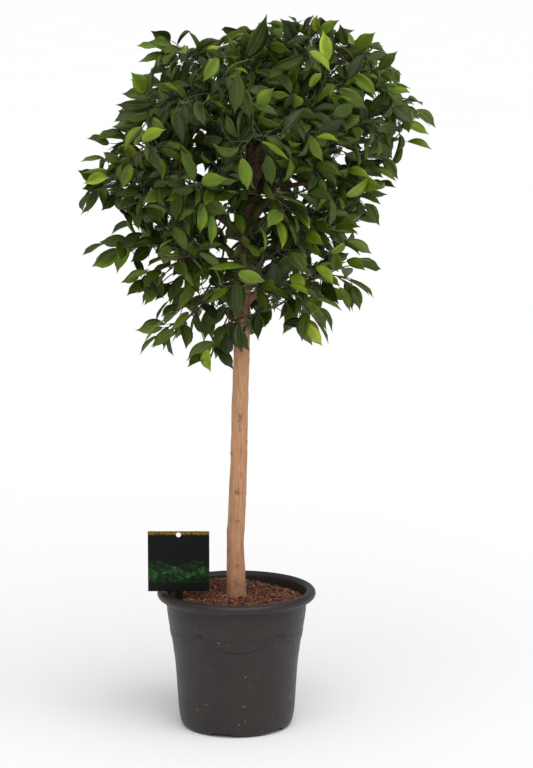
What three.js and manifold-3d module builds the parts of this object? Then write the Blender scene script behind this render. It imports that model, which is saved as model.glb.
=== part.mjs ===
// Potted chinese banyan: a small tree with a bare trunk and a leafy head, in a round plastic pot
// Millimetres, +Z up, the front towards -Y. The origin is the middle of the pot's underside.

import * as THREE from 'three';
import { mergeVertices } from 'three/addons/utils/BufferGeometryUtils.js';
import Module from 'manifold-3d';

const wasm = await Module();
wasm.setup();

// Clearance between pieces that touch, and between a twig's foot and the wood that it grows from
const GAP = 0.3;
const TWIG_GAP = 0.62;

// Pot
const POT_SIDES = 32;
const RIM_RADIUS = 130;
const BEAD_RADIUS = 8;
const RIM_TOP = 228.3;
const WALL = 2.5;
const FOOT_INNER_RADIUS = 74;
const FOOT_HEIGHT = 7;
const PAD_RADIUS = 24;
const POT_FLOOR = 10;
const NECK = 209;
const NECK_RADIUS = 115;
// Height and radius of the wall outside, and the heights of the rings of points inside
const WALL_OUTSIDE = [[0, 83], [3, 89], [12, 93], [60, 97.6], [106, 101], [140, 105.5], [187, 113.3]];
const WALL_INSIDE = [106, 187];
const BEAD_ANGLES = [-110, -45, 0, 45, 90, 180];
const NOTCHES = 6;
const NOTCH_WIDTH = 41;
const NOTCH_AZIMUTH = -104;
const NOTCH_HEIGHT = 6.6;
const NOTCH_DEPTH = 25;
const NOTCH_SPARE = 12;
const DRAIN_HOLES = 4;
const DRAIN_RADIUS = 6;
const DRAIN_CIRCLE = 52;
const DRAIN_SIDES = 6;

// Soil
const SOIL_TOP = 211;
const SOIL_MOUND = 4;
const SOIL_ROUGHNESS = 0.6;
const SOIL_RADIUS = 111;
const SOIL_RINGS = [111, 62];

// Trunk and leader, as height, sideways place and radius
const TRUNK_SIDES = 12;
const TRUNK = [
  [140, 1, 15], [206, 0.7, 17], [232, 0, 15.6], [300, -1.5, 14.4], [375, 1.7, 14.2], [457, 4.5, 13.6],
  [540, 6.3, 13.2], [606, 8.8, 13], [704, 11.4, 12.5], [800, 18, 10.5], [880, 26, 8], [960, 37, 5.5],
  [1035, 44, 3.4],
];

// Main limbs
const LIMBS = 10;
const LIMB_SIDES = 5;
const LIMB_PIECES = 4;
const LIMB_FOOT = 700;
const LIMB_STEP = 25;
const LIMB_RISE = 28;
const LIMB_RISE_STEP = 9;
const LIMB_AZIMUTH = -8;
const GOLDEN_ANGLE = 137.508;
const LIMB_REACH = 0.56;
const LIMB_ARCH = 0.12;
const LIMB_RADIUS = 6.6;
const LIMB_END_RADIUS = 3;

// Outline of the head, as height, sideways place of its middle and radius
const HEAD = [
  [605, -20, 40], [640, -5, 110], [700, 8, 165], [760, 5, 195], [830, 15, 215], [900, 15, 228],
  [960, 30, 236], [1020, 38, 228], [1080, 46, 202], [1120, 40, 170], [1152, 45, 90],
];

// Shoots of the head's outline as seen from the front: the place of the last leaf's tip as x, y and z,
// and the direction in which that leaf points, in degrees up from +X
const OUTLINE_TIPS = [
  [-150, 0, 1116, 170], [-74, 30, 1142, 110], [-9, -40, 1138, 100], [56, 10, 1156, 100],
  [120, -30, 1159, 85], [161, 30, 1150, 65], [215, -20, 1131, 45], [254, 20, 1101, 15],
  [274, -40, 1041, -5], [321, 0, 986, -25], [263, -50, 901, -20], [234, 20, 829, -10],
  [226, 0, 715, -25], [190, -45, 686, -60], [139, 0, 630, -57], [-75, -35, 605, -135],
  [-165, 20, 657, 185], [-139, -70, 635, 215], [-118, 60, 700, 200], [-185, -40, 740, 195],
  [-234, 0, 765, 205], [-251, 40, 840, 235], [-249, -20, 913, 175], [-224, 50, 976, 160],
  [-192, -10, 1015, 180], [-166, 40, 1057, 165],
];

// Shoots of the front and of the back, spread by the golden angle from the middle of each face
const FACES = [{ side: -1, shoots: 12, turn: 20 }, { side: 1, shoots: 11, turn: 64 }];
const FACE_SPREAD = 0.86;
const FACE_DEPTH = 1.06;
const FACE_RISE = [-0.4, 0.8];
const HEAD_MIDDLE = 880;
const HEAD_HALF = 262;
// Distance from the middle at which an outline shoot would lean as far forwards as outwards
const LEAN_REACH = 400;

// Twigs: radii at start and end, how far their two ends run straight as shares of the length, places
// along them as shares, and the first place and the step between places where they may start on a run
const TWIG_RADII = [1.9, 1.2];
const STRAIGHT_ENDS = [0.3, 0.35];
const SIDE_TWIG_RADII = [1.3, 0.9];
const SIDE_TWIG_LENGTH = [50, 72];
const SIDE_TWIG_TURN = [-30, 25];
const SIDE_TWIG_SPREAD = [42, 62];
const SIDE_TWIG_BEND = 0.3;
const FIRST_BEND = 0.16;
const FORKS = [0.36, 0.56, 0.76];
const NEAR_END = 0.9;
const SIDE_NEAR_END = 0.72;
const NODE_LENGTH = 2.6;
const WANTED_TWIG = 140;
const BEND_COST = 40;
const LIMB_STARTS = [0.25, 0.125];
const TRUNK_STARTS = [0.6875, 0.03125];

// Leaves: length, width as a share of it, angles to the twig and about the leaf's own middle line, how
// far they droop low and high in the head, and how far off the twig's middle the first ring lies
const LEAF_LENGTH = 50;
const LEAF_LENGTHS = [0.82, 1.12];
const LEAF_SHAPE = 0.44;
const PETIOLE = 8;
const LEAF_STATIONS = [0.2, 0.47, 0.77];
const LEAF_SPREAD = [40, 66];
const LEAF_ROLL = [-60, 60];
const LEAF_BEND = [0.04, 0.2];
const LEAF_DROOP = [1.1, 0.3];
const DROOP_SHARE = [0.1, 1];
const LEAF_OUTWARDS = 2.5;
const LEAF_FOLD = 0.16;
const LEAF_KEEL = 0.35;

// Room kept between twigs and leaves, and how often a place is drawn again
const BALL_STEP = 6;
const BALLS_AT_START = 2;
const TWIG_RADIUS = 1.8;
const TWIG_SPARE = 2;
const LEAF_SPARE = 0.8;
const PETIOLE_BALL = 1.6;
const TIP_BALL = 2.5;
const TIP_BALL_PLACE = 0.97;
const BLADE_BALLS = [0.14, 0.36, 0.58, 0.8];
const BLADE_BALL_SPARE = 1.4;
const TRIES = 8;

// Label
const LABEL = 100;
const LABEL_THICKNESS = 0.8;
const LABEL_PLACE = [-93.6, -30, 229.6];
const LABEL_HOLE_RADIUS = 4;
const LABEL_HOLE_DROP = 6;
const LABEL_HOLE_PIECES = 5;
const TONGUE_WIDTH = 12;
const TONGUE_LENGTH = 78;
const TONGUE_POINT = 14;

// Fallen leaf
const FALLEN_PLACE = [-38, 80];
const FALLEN_LENGTH = 26;
const FALLEN_TURN = 20;
const FALLEN_BEND = -0.04;
const FALLEN_STALK_RADIUS = 0.6;

const GREENS = [0x2f5a1c, 0x3b6b22, 0x274a1c, 0x447a28];

const DEGREES = Math.PI / 180;
const TRIANGLE_TURN = 30 * DEGREES;
// The side of a three-sided twig on which its left and its right shoots grow
const FACE_OF_HAND = { 1: 2, [-1]: 1 };
const UP = new THREE.Vector3(0, 0, 1);
const DOWN = new THREE.Vector3(0, 0, -1);
const FRONT = new THREE.Vector3(0, -1, 0);
const vector = (x, y, z) => new THREE.Vector3(x, y, z);
const mix = (a, b, share) => a + (b - a) * share;

// The values of a table's other columns at a height, between its rows
function atHeight(table, height) {
  let row = 1;
  while (row < table.length - 1 && table[row][0] < height) row += 1;
  const [low, high] = [table[row - 1], table[row]];
  const share = Math.min(Math.max((height - low[0]) / (high[0] - low[0]), 0), 1);
  return low.slice(1).map((value, k) => mix(value, high[k + 1], share));
}

// Numbers between two limits, drawn from a seeded row
function drawer(seed) {
  let state = (seed * 2654435 + 12345) % 4294967296;
  const draw = (low, high) => {
    state = (state * 1664525 + 1013904223) % 4294967296;
    return mix(low, high, state / 4294967296);
  };
  for (let k = 0; k < 3; k++) draw(0, 1);
  return draw;
}

// The part of a direction that is square to another
const squareTo = (direction, other) =>
  direction.clone().addScaledVector(other, -direction.dot(other)).normalize();

// Solids from meshes and back

function solidOf(points, faces) {
  return new wasm.Manifold(new wasm.Mesh({
    numProp: 3,
    vertProperties: Float32Array.from(points.flatMap((point) => point.toArray())),
    triVerts: Uint32Array.from(faces),
  }));
}

function solidOfGeometry(geometry) {
  const bare = geometry.clone();
  bare.deleteAttribute('normal');
  bare.deleteAttribute('uv');
  const merged = mergeVertices(bare, 1e-4);
  return new wasm.Manifold(new wasm.Mesh({
    numProp: 3,
    vertProperties: Float32Array.from(merged.attributes.position.array),
    triVerts: Uint32Array.from(merged.index.array),
  }));
}

function geometryOf(solid) {
  const mesh = solid.getMesh();
  const geometry = new THREE.BufferGeometry();
  geometry.setAttribute('position', new THREE.BufferAttribute(mesh.vertProperties, 3));
  geometry.setIndex(new THREE.BufferAttribute(mesh.triVerts, 1));
  geometry.computeVertexNormals();
  return geometry;
}

// A closed skin over rings with equal numbers of points, counterclockwise as seen from the end,
// which is a flat cap or a single tip
function skin(rings, tip) {
  const sides = rings[0].length;
  const points = rings.flat();
  const last = points.length - sides;
  const faces = [];
  for (let k = 1; k < sides - 1; k++) faces.push(0, k + 1, k);
  for (let a = 0; a < last; a++) {
    const b = a % sides === sides - 1 ? a + 1 - sides : a + 1;
    faces.push(a, b, b + sides, a, b + sides, a + sides);
  }
  if (tip) {
    points.push(tip);
    for (let k = 0; k < sides; k++) faces.push(last + k, last + (k + 1) % sides, points.length - 1);
  } else {
    for (let k = 1; k < sides - 1; k++) faces.push(last, last + k, last + k + 1);
  }
  return solidOf(points, faces);
}

function joined(solids) {
  return solids.reduce((whole, solid) => whole.add(solid));
}

// Ring of points round a place, square to the direction along
function ring(middle, along, normal, radius, sides, turn = 0) {
  const side = normal.clone().cross(along);
  return Array.from({ length: sides }, (_, k) => {
    const angle = turn + (2 * Math.PI * k) / sides;
    return middle.clone().addScaledVector(side, Math.cos(angle) * radius)
      .addScaledVector(normal, Math.sin(angle) * radius);
  });
}

// Plan of the wood: runs of stations with a place and a radius

function trunkRun() {
  return TRUNK.map(([z, x, radius]) => ({ point: vector(x, 0, z), radius }));
}

function limbRun(index) {
  const azimuth = (LIMB_AZIMUTH + GOLDEN_ANGLE * index) * DEGREES;
  const foot = LIMB_FOOT + LIMB_STEP * index;
  const start = vector(atHeight(TRUNK, foot)[0], 0, foot);
  const endHeight = foot + LIMB_RISE + LIMB_RISE_STEP * index;
  const [middle, radius] = atHeight(HEAD, endHeight);
  const reach = LIMB_REACH * radius;
  const end = vector(middle + reach * Math.cos(azimuth), reach * Math.sin(azimuth), endHeight);
  const arch = LIMB_ARCH * start.distanceTo(end);
  return Array.from({ length: LIMB_PIECES + 1 }, (_, k) => {
    const share = k / LIMB_PIECES;
    const point = start.clone().lerp(end, share).addScaledVector(UP, 4 * arch * share * (1 - share));
    return { point, radius: mix(LIMB_RADIUS, LIMB_END_RADIUS, share) };
  });
}

const woodRuns = [trunkRun(), ...Array.from({ length: LIMBS }, (_, index) => limbRun(index))];
const woodSides = (index) => (index ? LIMB_SIDES : TRUNK_SIDES);
const woodFacing = (index) => (index ? UP : FRONT);

// A place on a run, with its radius and the run's direction there
function onRun(run, share) {
  const place = share * (run.length - 1);
  const k = Math.min(Math.floor(place), run.length - 2);
  const [from, to] = [run[k], run[k + 1]];
  return {
    point: from.point.clone().lerp(to.point, place - k),
    radius: mix(from.radius, to.radius, place - k),
    along: to.point.clone().sub(from.point).normalize(),
  };
}

// The flat of a run's skin that looks most in a direction: the way it faces and how far out it lies
function nearestFlat(index, wanted, along, radius) {
  const normal = squareTo(woodFacing(index), along);
  const side = normal.clone().cross(along);
  const slice = (2 * Math.PI) / woodSides(index);
  const turn = Math.atan2(wanted.dot(normal), wanted.dot(side));
  const middle = (Math.floor(turn / slice) + 0.5) * slice;
  return {
    outwards: side.multiplyScalar(Math.cos(middle)).addScaledVector(normal, Math.sin(middle)),
    distance: radius * Math.cos(slice / 2),
  };
}

// Plan of the shoots: balls stand for what is already placed, so that nothing crosses

const woodBalls = [];
const grownBalls = [];

function isClear(wanted, among, spare) {
  return wanted.every(({ point, radius }) => among.every((ball) => {
    const least = radius + ball.radius + spare;
    return point.distanceToSquared(ball.point) >= least * least;
  }));
}

function runBalls(run) {
  const found = [];
  for (let k = 0; k < run.length - 1; k++) {
    const steps = Math.ceil(run[k].point.distanceTo(run[k + 1].point) / BALL_STEP);
    for (let step = 0; step < steps; step++) {
      const { point, radius } = onRun([run[k], run[k + 1]], step / steps);
      found.push({ point, radius });
    }
  }
  return found;
}

// A smooth arched twig between two places, with its directions there; sideways is level unless the
// twig runs nearly upright
function twigCurve(start, startDirection, end, endDirection) {
  const length = start.distanceTo(end);
  const chord = end.clone().sub(start).normalize();
  const level = UP.clone().cross(chord);
  const sideways = level.length() > 0.2 ? level.normalize() : vector(1, 0, 0);
  return {
    a: start,
    b: start.clone().addScaledVector(startDirection, STRAIGHT_ENDS[0] * length),
    c: end.clone().addScaledVector(endDirection, -STRAIGHT_ENDS[1] * length),
    d: end,
    sideways,
    length,
  };
}

// A place on a twig, with the twig's direction, its left side and its upper side there
function onTwig(twig, share) {
  const rest = 1 - share;
  const point = twig.a.clone().multiplyScalar(rest ** 3).addScaledVector(twig.b, 3 * rest * rest * share)
    .addScaledVector(twig.c, 3 * rest * share * share).addScaledVector(twig.d, share ** 3);
  const along = twig.b.clone().sub(twig.a).multiplyScalar(rest * rest)
    .addScaledVector(twig.c.clone().sub(twig.b), 2 * rest * share)
    .addScaledVector(twig.d.clone().sub(twig.c), share * share).normalize();
  const side = squareTo(twig.sideways, along);
  return { point, along, side, normal: along.clone().cross(side) };
}

// The balls along a twig
function twigBalls(twig) {
  const steps = Math.ceil(twig.length / BALL_STEP);
  return Array.from({ length: steps + 1 }, (_, k) =>
    ({ point: onTwig(twig, k / steps).point, radius: TWIG_RADIUS }));
}

// Whether a main twig is clear of the other shoots, and past its first stretch also of the wood
function hasRoom(twig) {
  const wanted = twigBalls(twig);
  const past = wanted.slice(BALLS_AT_START);
  return isClear(wanted, grownBalls, TWIG_SPARE) && isClear(past, woodBalls, TWIG_SPARE);
}

// Tips of the last leaves, with the direction of each
function shootTips() {
  const tips = OUTLINE_TIPS.map(([x, y, z, angle]) => ({
    tip: vector(x, y, z),
    direction: vector(Math.cos(angle * DEGREES), y / LEAN_REACH, Math.sin(angle * DEGREES)).normalize(),
  }));
  for (const face of FACES) {
    for (let k = 0; k < face.shoots; k++) {
      const polar = Math.acos(1 - (k + 0.5) / face.shoots * FACE_SPREAD);
      const azimuth = (GOLDEN_ANGLE * k + face.turn) * DEGREES;
      const rise = Math.sin(polar) * Math.sin(azimuth);
      const across = Math.sin(polar) * Math.cos(azimuth);
      const height = HEAD_MIDDLE + HEAD_HALF * rise;
      const [middle, radius] = atHeight(HEAD, height);
      const outwards = vector(across, face.side * Math.cos(polar), 0).normalize();
      tips.push({
        tip: vector(middle, 0, height).addScaledVector(outwards, FACE_DEPTH * radius),
        direction: outwards.clone().addScaledVector(UP, mix(...FACE_RISE, (rise + 1) / 2)).normalize(),
      });
    }
  }
  return tips;
}

// Twigs that could reach an end from the wood, the best one first
function mainTwigs(end, direction) {
  const found = [];
  woodRuns.forEach((run, index) => {
    const [first, step] = index ? LIMB_STARTS : TRUNK_STARTS;
    for (let share = first; share <= 1; share += step) {
      const { point, radius, along } = onRun(run, share);
      const reach = end.clone().sub(point);
      const length = reach.length();
      const bend = 1 - reach.dot(along) / length;
      const { outwards, distance } = share === 1
        ? { outwards: along, distance: 0 } : nearestFlat(index, reach, along, radius);
      const start = point.addScaledVector(outwards, distance + TWIG_GAP);
      found.push({
        twig: twigCurve(start, outwards, end, direction),
        cost: Math.abs(length - WANTED_TWIG) + BEND_COST * bend,
      });
    }
  });
  return found.sort((a, b) => a.cost - b.cost).map(({ twig }) => twig);
}

// A side twig from a place on the main twig, on its left for hand 1 and on its right for hand -1
function sideTwig(from, hand, draw) {
  const turn = draw(...SIDE_TWIG_TURN) * DEGREES;
  const spread = draw(...SIDE_TWIG_SPREAD) * DEGREES;
  const length = draw(...SIDE_TWIG_LENGTH);
  const out = from.side.clone().multiplyScalar(hand * Math.cos(turn))
    .addScaledVector(from.normal, Math.sin(turn));
  const away = from.along.clone().multiplyScalar(Math.cos(spread)).addScaledVector(out, Math.sin(spread));
  const bent = away.clone().addScaledVector(from.along, SIDE_TWIG_BEND)
    .addScaledVector(UP, -SIDE_TWIG_BEND).normalize();
  return twigCurve(from.point, away, from.point.clone().addScaledVector(away, length), bent);
}

// The twigs of one shoot: the main twig, then its side twigs with their places on it
function planTwigs({ tip, direction }, draw) {
  const end = tip.clone().addScaledVector(direction, -(LEAF_LENGTH + PETIOLE));
  const tries = mainTwigs(end, direction);
  const main = tries.find(hasRoom);
  grownBalls.push(...twigBalls(main));
  const sides = [];
  FORKS.forEach((share, k) => {
    for (let attempt = 0; attempt < TRIES; attempt++) {
      const hand = (k + attempt) % 2 ? -1 : 1;
      const twig = sideTwig(onTwig(main, share), hand, draw);
      const wanted = twigBalls(twig).slice(BALLS_AT_START);
      if (isClear(wanted, grownBalls, TWIG_SPARE) && isClear(wanted, woodBalls, TWIG_SPARE)) {
        grownBalls.push(...twigBalls(twig));
        sides.push({ ...twig, share, hand });
        break;
      }
    }
  });
  return { main, sides };
}

// Half of a leaf's width at a share of its length, as a share of its full width
function leafHalfWidth(share) {
  return 0.5 * Math.sin(Math.PI * share ** 0.9) ** 0.8 * (1 - 0.25 * share ** 4);
}

// A leaf's middle line, which bends down towards its tip
function leafPoint(leaf, share) {
  return leaf.root.clone().addScaledVector(leaf.along, PETIOLE + leaf.length * share)
    .addScaledVector(leaf.normal, -leaf.bend * leaf.length * share * share);
}

// Left edge, right edge and keel of a folded leaf
function leafRing(leaf, share) {
  const middle = leafPoint(leaf, share);
  const half = leafHalfWidth(share) * leaf.width;
  const edge = middle.clone().addScaledVector(leaf.normal, LEAF_FOLD * half);
  return [
    edge.clone().addScaledVector(leaf.side, half),
    edge.clone().addScaledVector(leaf.side, -half),
    middle.addScaledVector(leaf.normal, -LEAF_KEEL),
  ];
}

function leafBalls(leaf) {
  const found = [
    { point: leafPoint(leaf, 0), radius: PETIOLE_BALL },
    { point: leafPoint(leaf, TIP_BALL_PLACE), radius: TIP_BALL },
  ];
  for (const share of BLADE_BALLS) {
    const half = leafHalfWidth(share) * leaf.width;
    for (const hand of [-0.5, 0.5]) {
      const point = leafPoint(leaf, share).addScaledVector(leaf.side, hand * half);
      found.push({ point, radius: 0.5 * half + BLADE_BALL_SPARE });
    }
  }
  return found;
}

// A leaf at a place on a twig: on its left for hand 1, on its right for hand -1, or at its end for hand 0
function drawLeaf(from, hand, draw) {
  const spread = hand ? draw(...LEAF_SPREAD) * DEGREES : 0;
  const roll = draw(...LEAF_ROLL) * DEGREES;
  const rise = (from.point.z - HEAD[0][0]) / (2 * HEAD_HALF);
  const droop = hand ? draw(...DROOP_SHARE) * mix(...LEAF_DROOP, rise) : 0;
  const length = LEAF_LENGTH * draw(...LEAF_LENGTHS);
  const bend = draw(...LEAF_BEND);
  const along = from.along.clone().multiplyScalar(Math.cos(spread))
    .addScaledVector(from.side, hand * Math.sin(spread)).addScaledVector(UP, -droop).normalize();
  const flat = squareTo(from.normal, along);
  const normal = flat.clone().multiplyScalar(Math.cos(roll))
    .addScaledVector(flat.clone().cross(along), Math.sin(roll));
  const side = normal.clone().cross(along);
  return { root: from.point, along, normal, side, length, width: length * LEAF_SHAPE, bend, hand };
}

// A leaf that found room, or nothing
function planLeaf(from, hand, draw) {
  for (let attempt = 0; attempt < TRIES; attempt++) {
    const leaf = drawLeaf(from, hand, draw);
    const wanted = leafBalls(leaf);
    const outwards = leafRing(leaf, LEAF_STATIONS[0]).every((place) =>
      hand * place.sub(from.point).dot(from.side) >= Math.abs(hand) * LEAF_OUTWARDS);
    if (outwards && isClear(wanted, grownBalls, LEAF_SPARE) && isClear(wanted, woodBalls, LEAF_SPARE)) {
      grownBalls.push(...wanted);
      return leaf;
    }
  }
  return null;
}

// Gives a shoot's twigs their leaves: one at each end, one across from each fork and one near each end
function planLeaves({ main, sides }, draw) {
  main.end = planLeaf(onTwig(main, 1), 0, draw);
  main.nodes = [...FORKS, NEAR_END].map((share) => {
    const side = sides.find((twig) => twig.share === share);
    return { share, side, leaf: planLeaf(onTwig(main, share), side ? -side.hand : 1, draw) };
  });
  main.nodes.unshift({ share: FIRST_BEND });
  sides.forEach((side) => {
    side.end = planLeaf(onTwig(side, 1), 0, draw);
    side.nodes = [{ share: SIDE_NEAR_END }];
    side.nodes[0].leaf = planLeaf(onTwig(side, SIDE_NEAR_END), side.hand, draw);
  });
}

function planShoots() {
  woodRuns.forEach((run) => woodBalls.push(...runBalls(run)));
  const shoots = shootTips().map((tip, index) => {
    const draw = drawer(index + 1);
    return { draw, ...planTwigs(tip, draw) };
  });
  shoots.forEach((shoot) => planLeaves(shoot, shoot.draw));
  return shoots;
}

// Skin of a shoot: rings of three points run along each twig, and a leaf or a side twig grows out of
// one triangle between two rings

function shootGeometry({ main }) {
  const points = [];
  const faces = [];
  const addRing = (places) => places.map((place) => points.push(place) - 1);

  // Faces between two close rings, less the triangles where something grows on the sides in open
  function bridge(from, to, open) {
    const bases = [];
    for (let k = 0; k < 3; k++) {
      const next = (k + 1) % 3;
      if (open.includes(k)) bases[k] = [from[k], from[next], to[next]];
      else faces.push(from[k], from[next], to[next]);
      faces.push(from[k], to[next], to[k]);
    }
    return bases;
  }

  // What some faces span with a place, as six times the volume
  function spanned(corners, place) {
    let volume = 0;
    for (let k = 0; k < corners.length; k += 3) {
      const [a, b, c] = corners.slice(k, k + 3).map((corner) => points[corner].clone().sub(place));
      volume += a.dot(b.cross(c));
    }
    return volume;
  }

  // Faces between two rings that may be turned to each other, stitched so that they enclose most
  function loft(from, to) {
    const place = points[from[0]];
    const ways = [0, 1, 2].map((turn) => [0, 1, 2].flatMap((k) => {
      const [a, b] = [from[(k + turn) % 3], from[(k + turn + 1) % 3]];
      const [c, d] = [to[(k + 1) % 3], to[k]];
      const [one, other] = [[a, b, c, a, c, d], [a, b, d, b, c, d]];
      return spanned(one, place) > spanned(other, place) ? one : other;
    }));
    ways.sort((one, other) => spanned(other, place) - spanned(one, place));
    faces.push(...ways[0]);
  }

  function growLeaf(leaf, base) {
    let from = base;
    for (const share of LEAF_STATIONS) {
      const to = addRing(leafRing(leaf, share));
      loft(from, to);
      from = to;
    }
    const tip = points.push(leafPoint(leaf, 1)) - 1;
    for (let k = 0; k < 3; k++) faces.push(from[k], from[(k + 1) % 3], tip);
  }

  function growTwig(twig, radii, base) {
    const ringAt = (share) => {
      const { point, along, normal } = onTwig(twig, share);
      return ring(point, along, normal, mix(radii[0], radii[1], share), 3, TRIANGLE_TURN);
    };
    let from = base;
    if (!from) {
      from = addRing(ringAt(0));
      faces.push(from[0], from[2], from[1]);
    }
    for (const { share, side, leaf } of twig.nodes) {
      const grown = [side, leaf].filter(Boolean);
      const half = grown.length ? NODE_LENGTH / 2 / twig.length : 0;
      const entry = addRing(ringAt(share - half));
      loft(from, entry);
      from = entry;
      if (!grown.length) continue;
      const exit = addRing(ringAt(share + half));
      const bases = bridge(entry, exit, grown.map(({ hand }) => FACE_OF_HAND[hand]));
      if (side) growTwig(side, SIDE_TWIG_RADII, bases[FACE_OF_HAND[side.hand]]);
      if (leaf) growLeaf(leaf, bases[FACE_OF_HAND[leaf.hand]]);
      from = exit;
    }
    const last = addRing(ringAt(1));
    loft(from, last);
    if (twig.end) growLeaf(twig.end, last);
    else faces.push(last[0], last[1], last[2]);
  }

  growTwig(main, TWIG_RADII, null);
  const geometry = new THREE.BufferGeometry();
  const places = Float32Array.from(points.flatMap((point) => point.toArray()));
  geometry.setAttribute('position', new THREE.BufferAttribute(places, 3));
  geometry.setIndex(faces);
  geometry.computeVertexNormals();
  return geometry;
}

// Solid of the wood

function woodSolid() {
  return joined(woodRuns.map((run, index) => skin(run.map(({ point, radius }, k) => {
    const before = run[Math.max(k - 1, 0)].point;
    const after = run[Math.min(k + 1, run.length - 1)].point;
    const along = after.clone().sub(before).normalize();
    return ring(point, along, squareTo(woodFacing(index), along), radius, woodSides(index));
  }))));
}

// Pot

const potRadius = (height) => atHeight(WALL_OUTSIDE, height)[0];

function lathe(profile, sides) {
  const points = profile.map(([radius, z]) => new THREE.Vector2(radius, z));
  return solidOfGeometry(new THREE.LatheGeometry(points, sides).rotateX(Math.PI / 2));
}

function potProfile() {
  const bead = RIM_TOP - BEAD_RADIUS;
  const beadRadius = RIM_RADIUS - BEAD_RADIUS;
  const outside = WALL_OUTSIDE.map(([height, radius]) => [radius, height]);
  const rim = BEAD_ANGLES.map((angle) => [
    beadRadius + BEAD_RADIUS * Math.cos(angle * DEGREES), bead + BEAD_RADIUS * Math.sin(angle * DEGREES),
  ]);
  const inside = [POT_FLOOR, ...WALL_INSIDE].reverse()
    .map((height) => [potRadius(height) - WALL, height]);
  return [
    [0, 0], [PAD_RADIUS, 0], [PAD_RADIUS, FOOT_HEIGHT], [FOOT_INNER_RADIUS, FOOT_HEIGHT],
    [FOOT_INNER_RADIUS, 0], ...outside, [NECK_RADIUS, NECK], ...rim, ...inside, [0, POT_FLOOR],
  ];
}

// An arched notch through the foot
function notchSolid(azimuth) {
  const half = NOTCH_WIDTH / 2;
  const arch = new THREE.Shape();
  arch.moveTo(-half, -NOTCH_SPARE);
  arch.lineTo(half, -NOTCH_SPARE);
  for (const share of [0.8, 0.4, -0.4, -0.8]) {
    arch.lineTo(half * share, NOTCH_HEIGHT * Math.sqrt(1 - share * share));
  }
  const cut = new THREE.ExtrudeGeometry(arch, { depth: NOTCH_DEPTH, bevelEnabled: false });
  cut.rotateX(Math.PI / 2).translate(0, NOTCH_DEPTH - WALL_OUTSIDE[0][1] - NOTCH_SPARE, 0);
  return solidOfGeometry(cut.rotateZ((azimuth + 90) * DEGREES));
}

function drainSolid(azimuth) {
  const drill = new THREE.CylinderGeometry(DRAIN_RADIUS, DRAIN_RADIUS, 3 * FOOT_HEIGHT, DRAIN_SIDES);
  drill.rotateX(Math.PI / 2).translate(DRAIN_CIRCLE, 0, FOOT_HEIGHT);
  return solidOfGeometry(drill.rotateZ(azimuth * DEGREES));
}

function potSolid() {
  const turns = (count) => Array.from({ length: count }, (_, k) => NOTCH_AZIMUTH + (360 * k) / count);
  const cuts = [...turns(NOTCHES).map(notchSolid), ...turns(DRAIN_HOLES).map(drainSolid)];
  return cuts.reduce((pot, cut) => pot.subtract(cut), lathe(potProfile(), POT_SIDES));
}

// Soil

function soilHeight(radius, angle) {
  const mound = SOIL_MOUND * (1 - radius / SOIL_RADIUS);
  const rough = Math.sin(5 * angle + radius / 9) + Math.sin(3 * angle - radius / 14);
  return SOIL_TOP + mound + SOIL_ROUGHNESS * rough;
}

// Height of the soil's flat faces between its two rings
function soilSurface({ x, y }) {
  const slice = (2 * Math.PI) / POT_SIDES;
  const place = Math.atan2(y, x) / slice;
  const before = Math.floor(place);
  const [outer, inner] = SOIL_RINGS.map((radius) => mix(
    soilHeight(radius, before * slice), soilHeight(radius, (before + 1) * slice), place - before,
  ));
  return mix(inner, outer, (Math.hypot(x, y) - SOIL_RINGS[1]) / (SOIL_RINGS[0] - SOIL_RINGS[1]));
}

function soilSolid() {
  const inside = (height) => potRadius(height) - WALL - GAP;
  const around = (radius, heightAt) => Array.from({ length: POT_SIDES }, (_, k) => {
    const angle = (2 * Math.PI * k) / POT_SIDES;
    return vector(radius * Math.cos(angle), radius * Math.sin(angle), heightAt(angle));
  });
  const walls = [POT_FLOOR + GAP, ...WALL_INSIDE].map((height) => around(inside(height), () => height));
  const tops = SOIL_RINGS.map((radius) => around(radius, (angle) => soilHeight(radius, angle)));
  const soil = skin([...walls, ...tops], vector(0, 0, SOIL_TOP + SOIL_MOUND));
  const hole = skin(trunkRun().slice(0, 3).map(({ point, radius }, k) => ring(
    k ? point : point.clone().addScaledVector(UP, -GAP), UP, FRONT, radius + GAP, TRUNK_SIDES,
  )));
  const depth = TONGUE_LENGTH + GAP;
  const slot = new THREE.BoxGeometry(TONGUE_WIDTH + 2 * GAP, LABEL_THICKNESS + 2 * GAP, depth);
  slot.translate(LABEL_PLACE[0], LABEL_PLACE[1], LABEL_PLACE[2] - depth / 2);
  return soil.subtract(hole).subtract(solidOfGeometry(slot));
}

// Label: a square card with a punched hole, in one piece with its pointed tongue

function labelGeometry() {
  const half = LABEL / 2;
  const tongue = TONGUE_WIDTH / 2;
  const outline = new THREE.Shape();
  outline.moveTo(-half, 0);
  outline.lineTo(-tongue, 0);
  outline.lineTo(-tongue, TONGUE_POINT - TONGUE_LENGTH);
  outline.lineTo(0, -TONGUE_LENGTH);
  outline.lineTo(tongue, TONGUE_POINT - TONGUE_LENGTH);
  outline.lineTo(tongue, 0);
  outline.lineTo(half, 0);
  outline.lineTo(half, LABEL);
  outline.lineTo(-half, LABEL);
  outline.closePath();
  const hole = new THREE.Path();
  hole.absarc(0, LABEL - LABEL_HOLE_DROP, LABEL_HOLE_RADIUS, 0, 2 * Math.PI, true);
  outline.holes.push(hole);
  const card = new THREE.ExtrudeGeometry(outline, {
    depth: LABEL_THICKNESS, bevelEnabled: false, curveSegments: LABEL_HOLE_PIECES,
  });
  return card.rotateX(Math.PI / 2).translate(0, LABEL_THICKNESS / 2, 0);
}

// Fallen leaf: it lies face down and rests on its two widest edges and its tip

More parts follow.
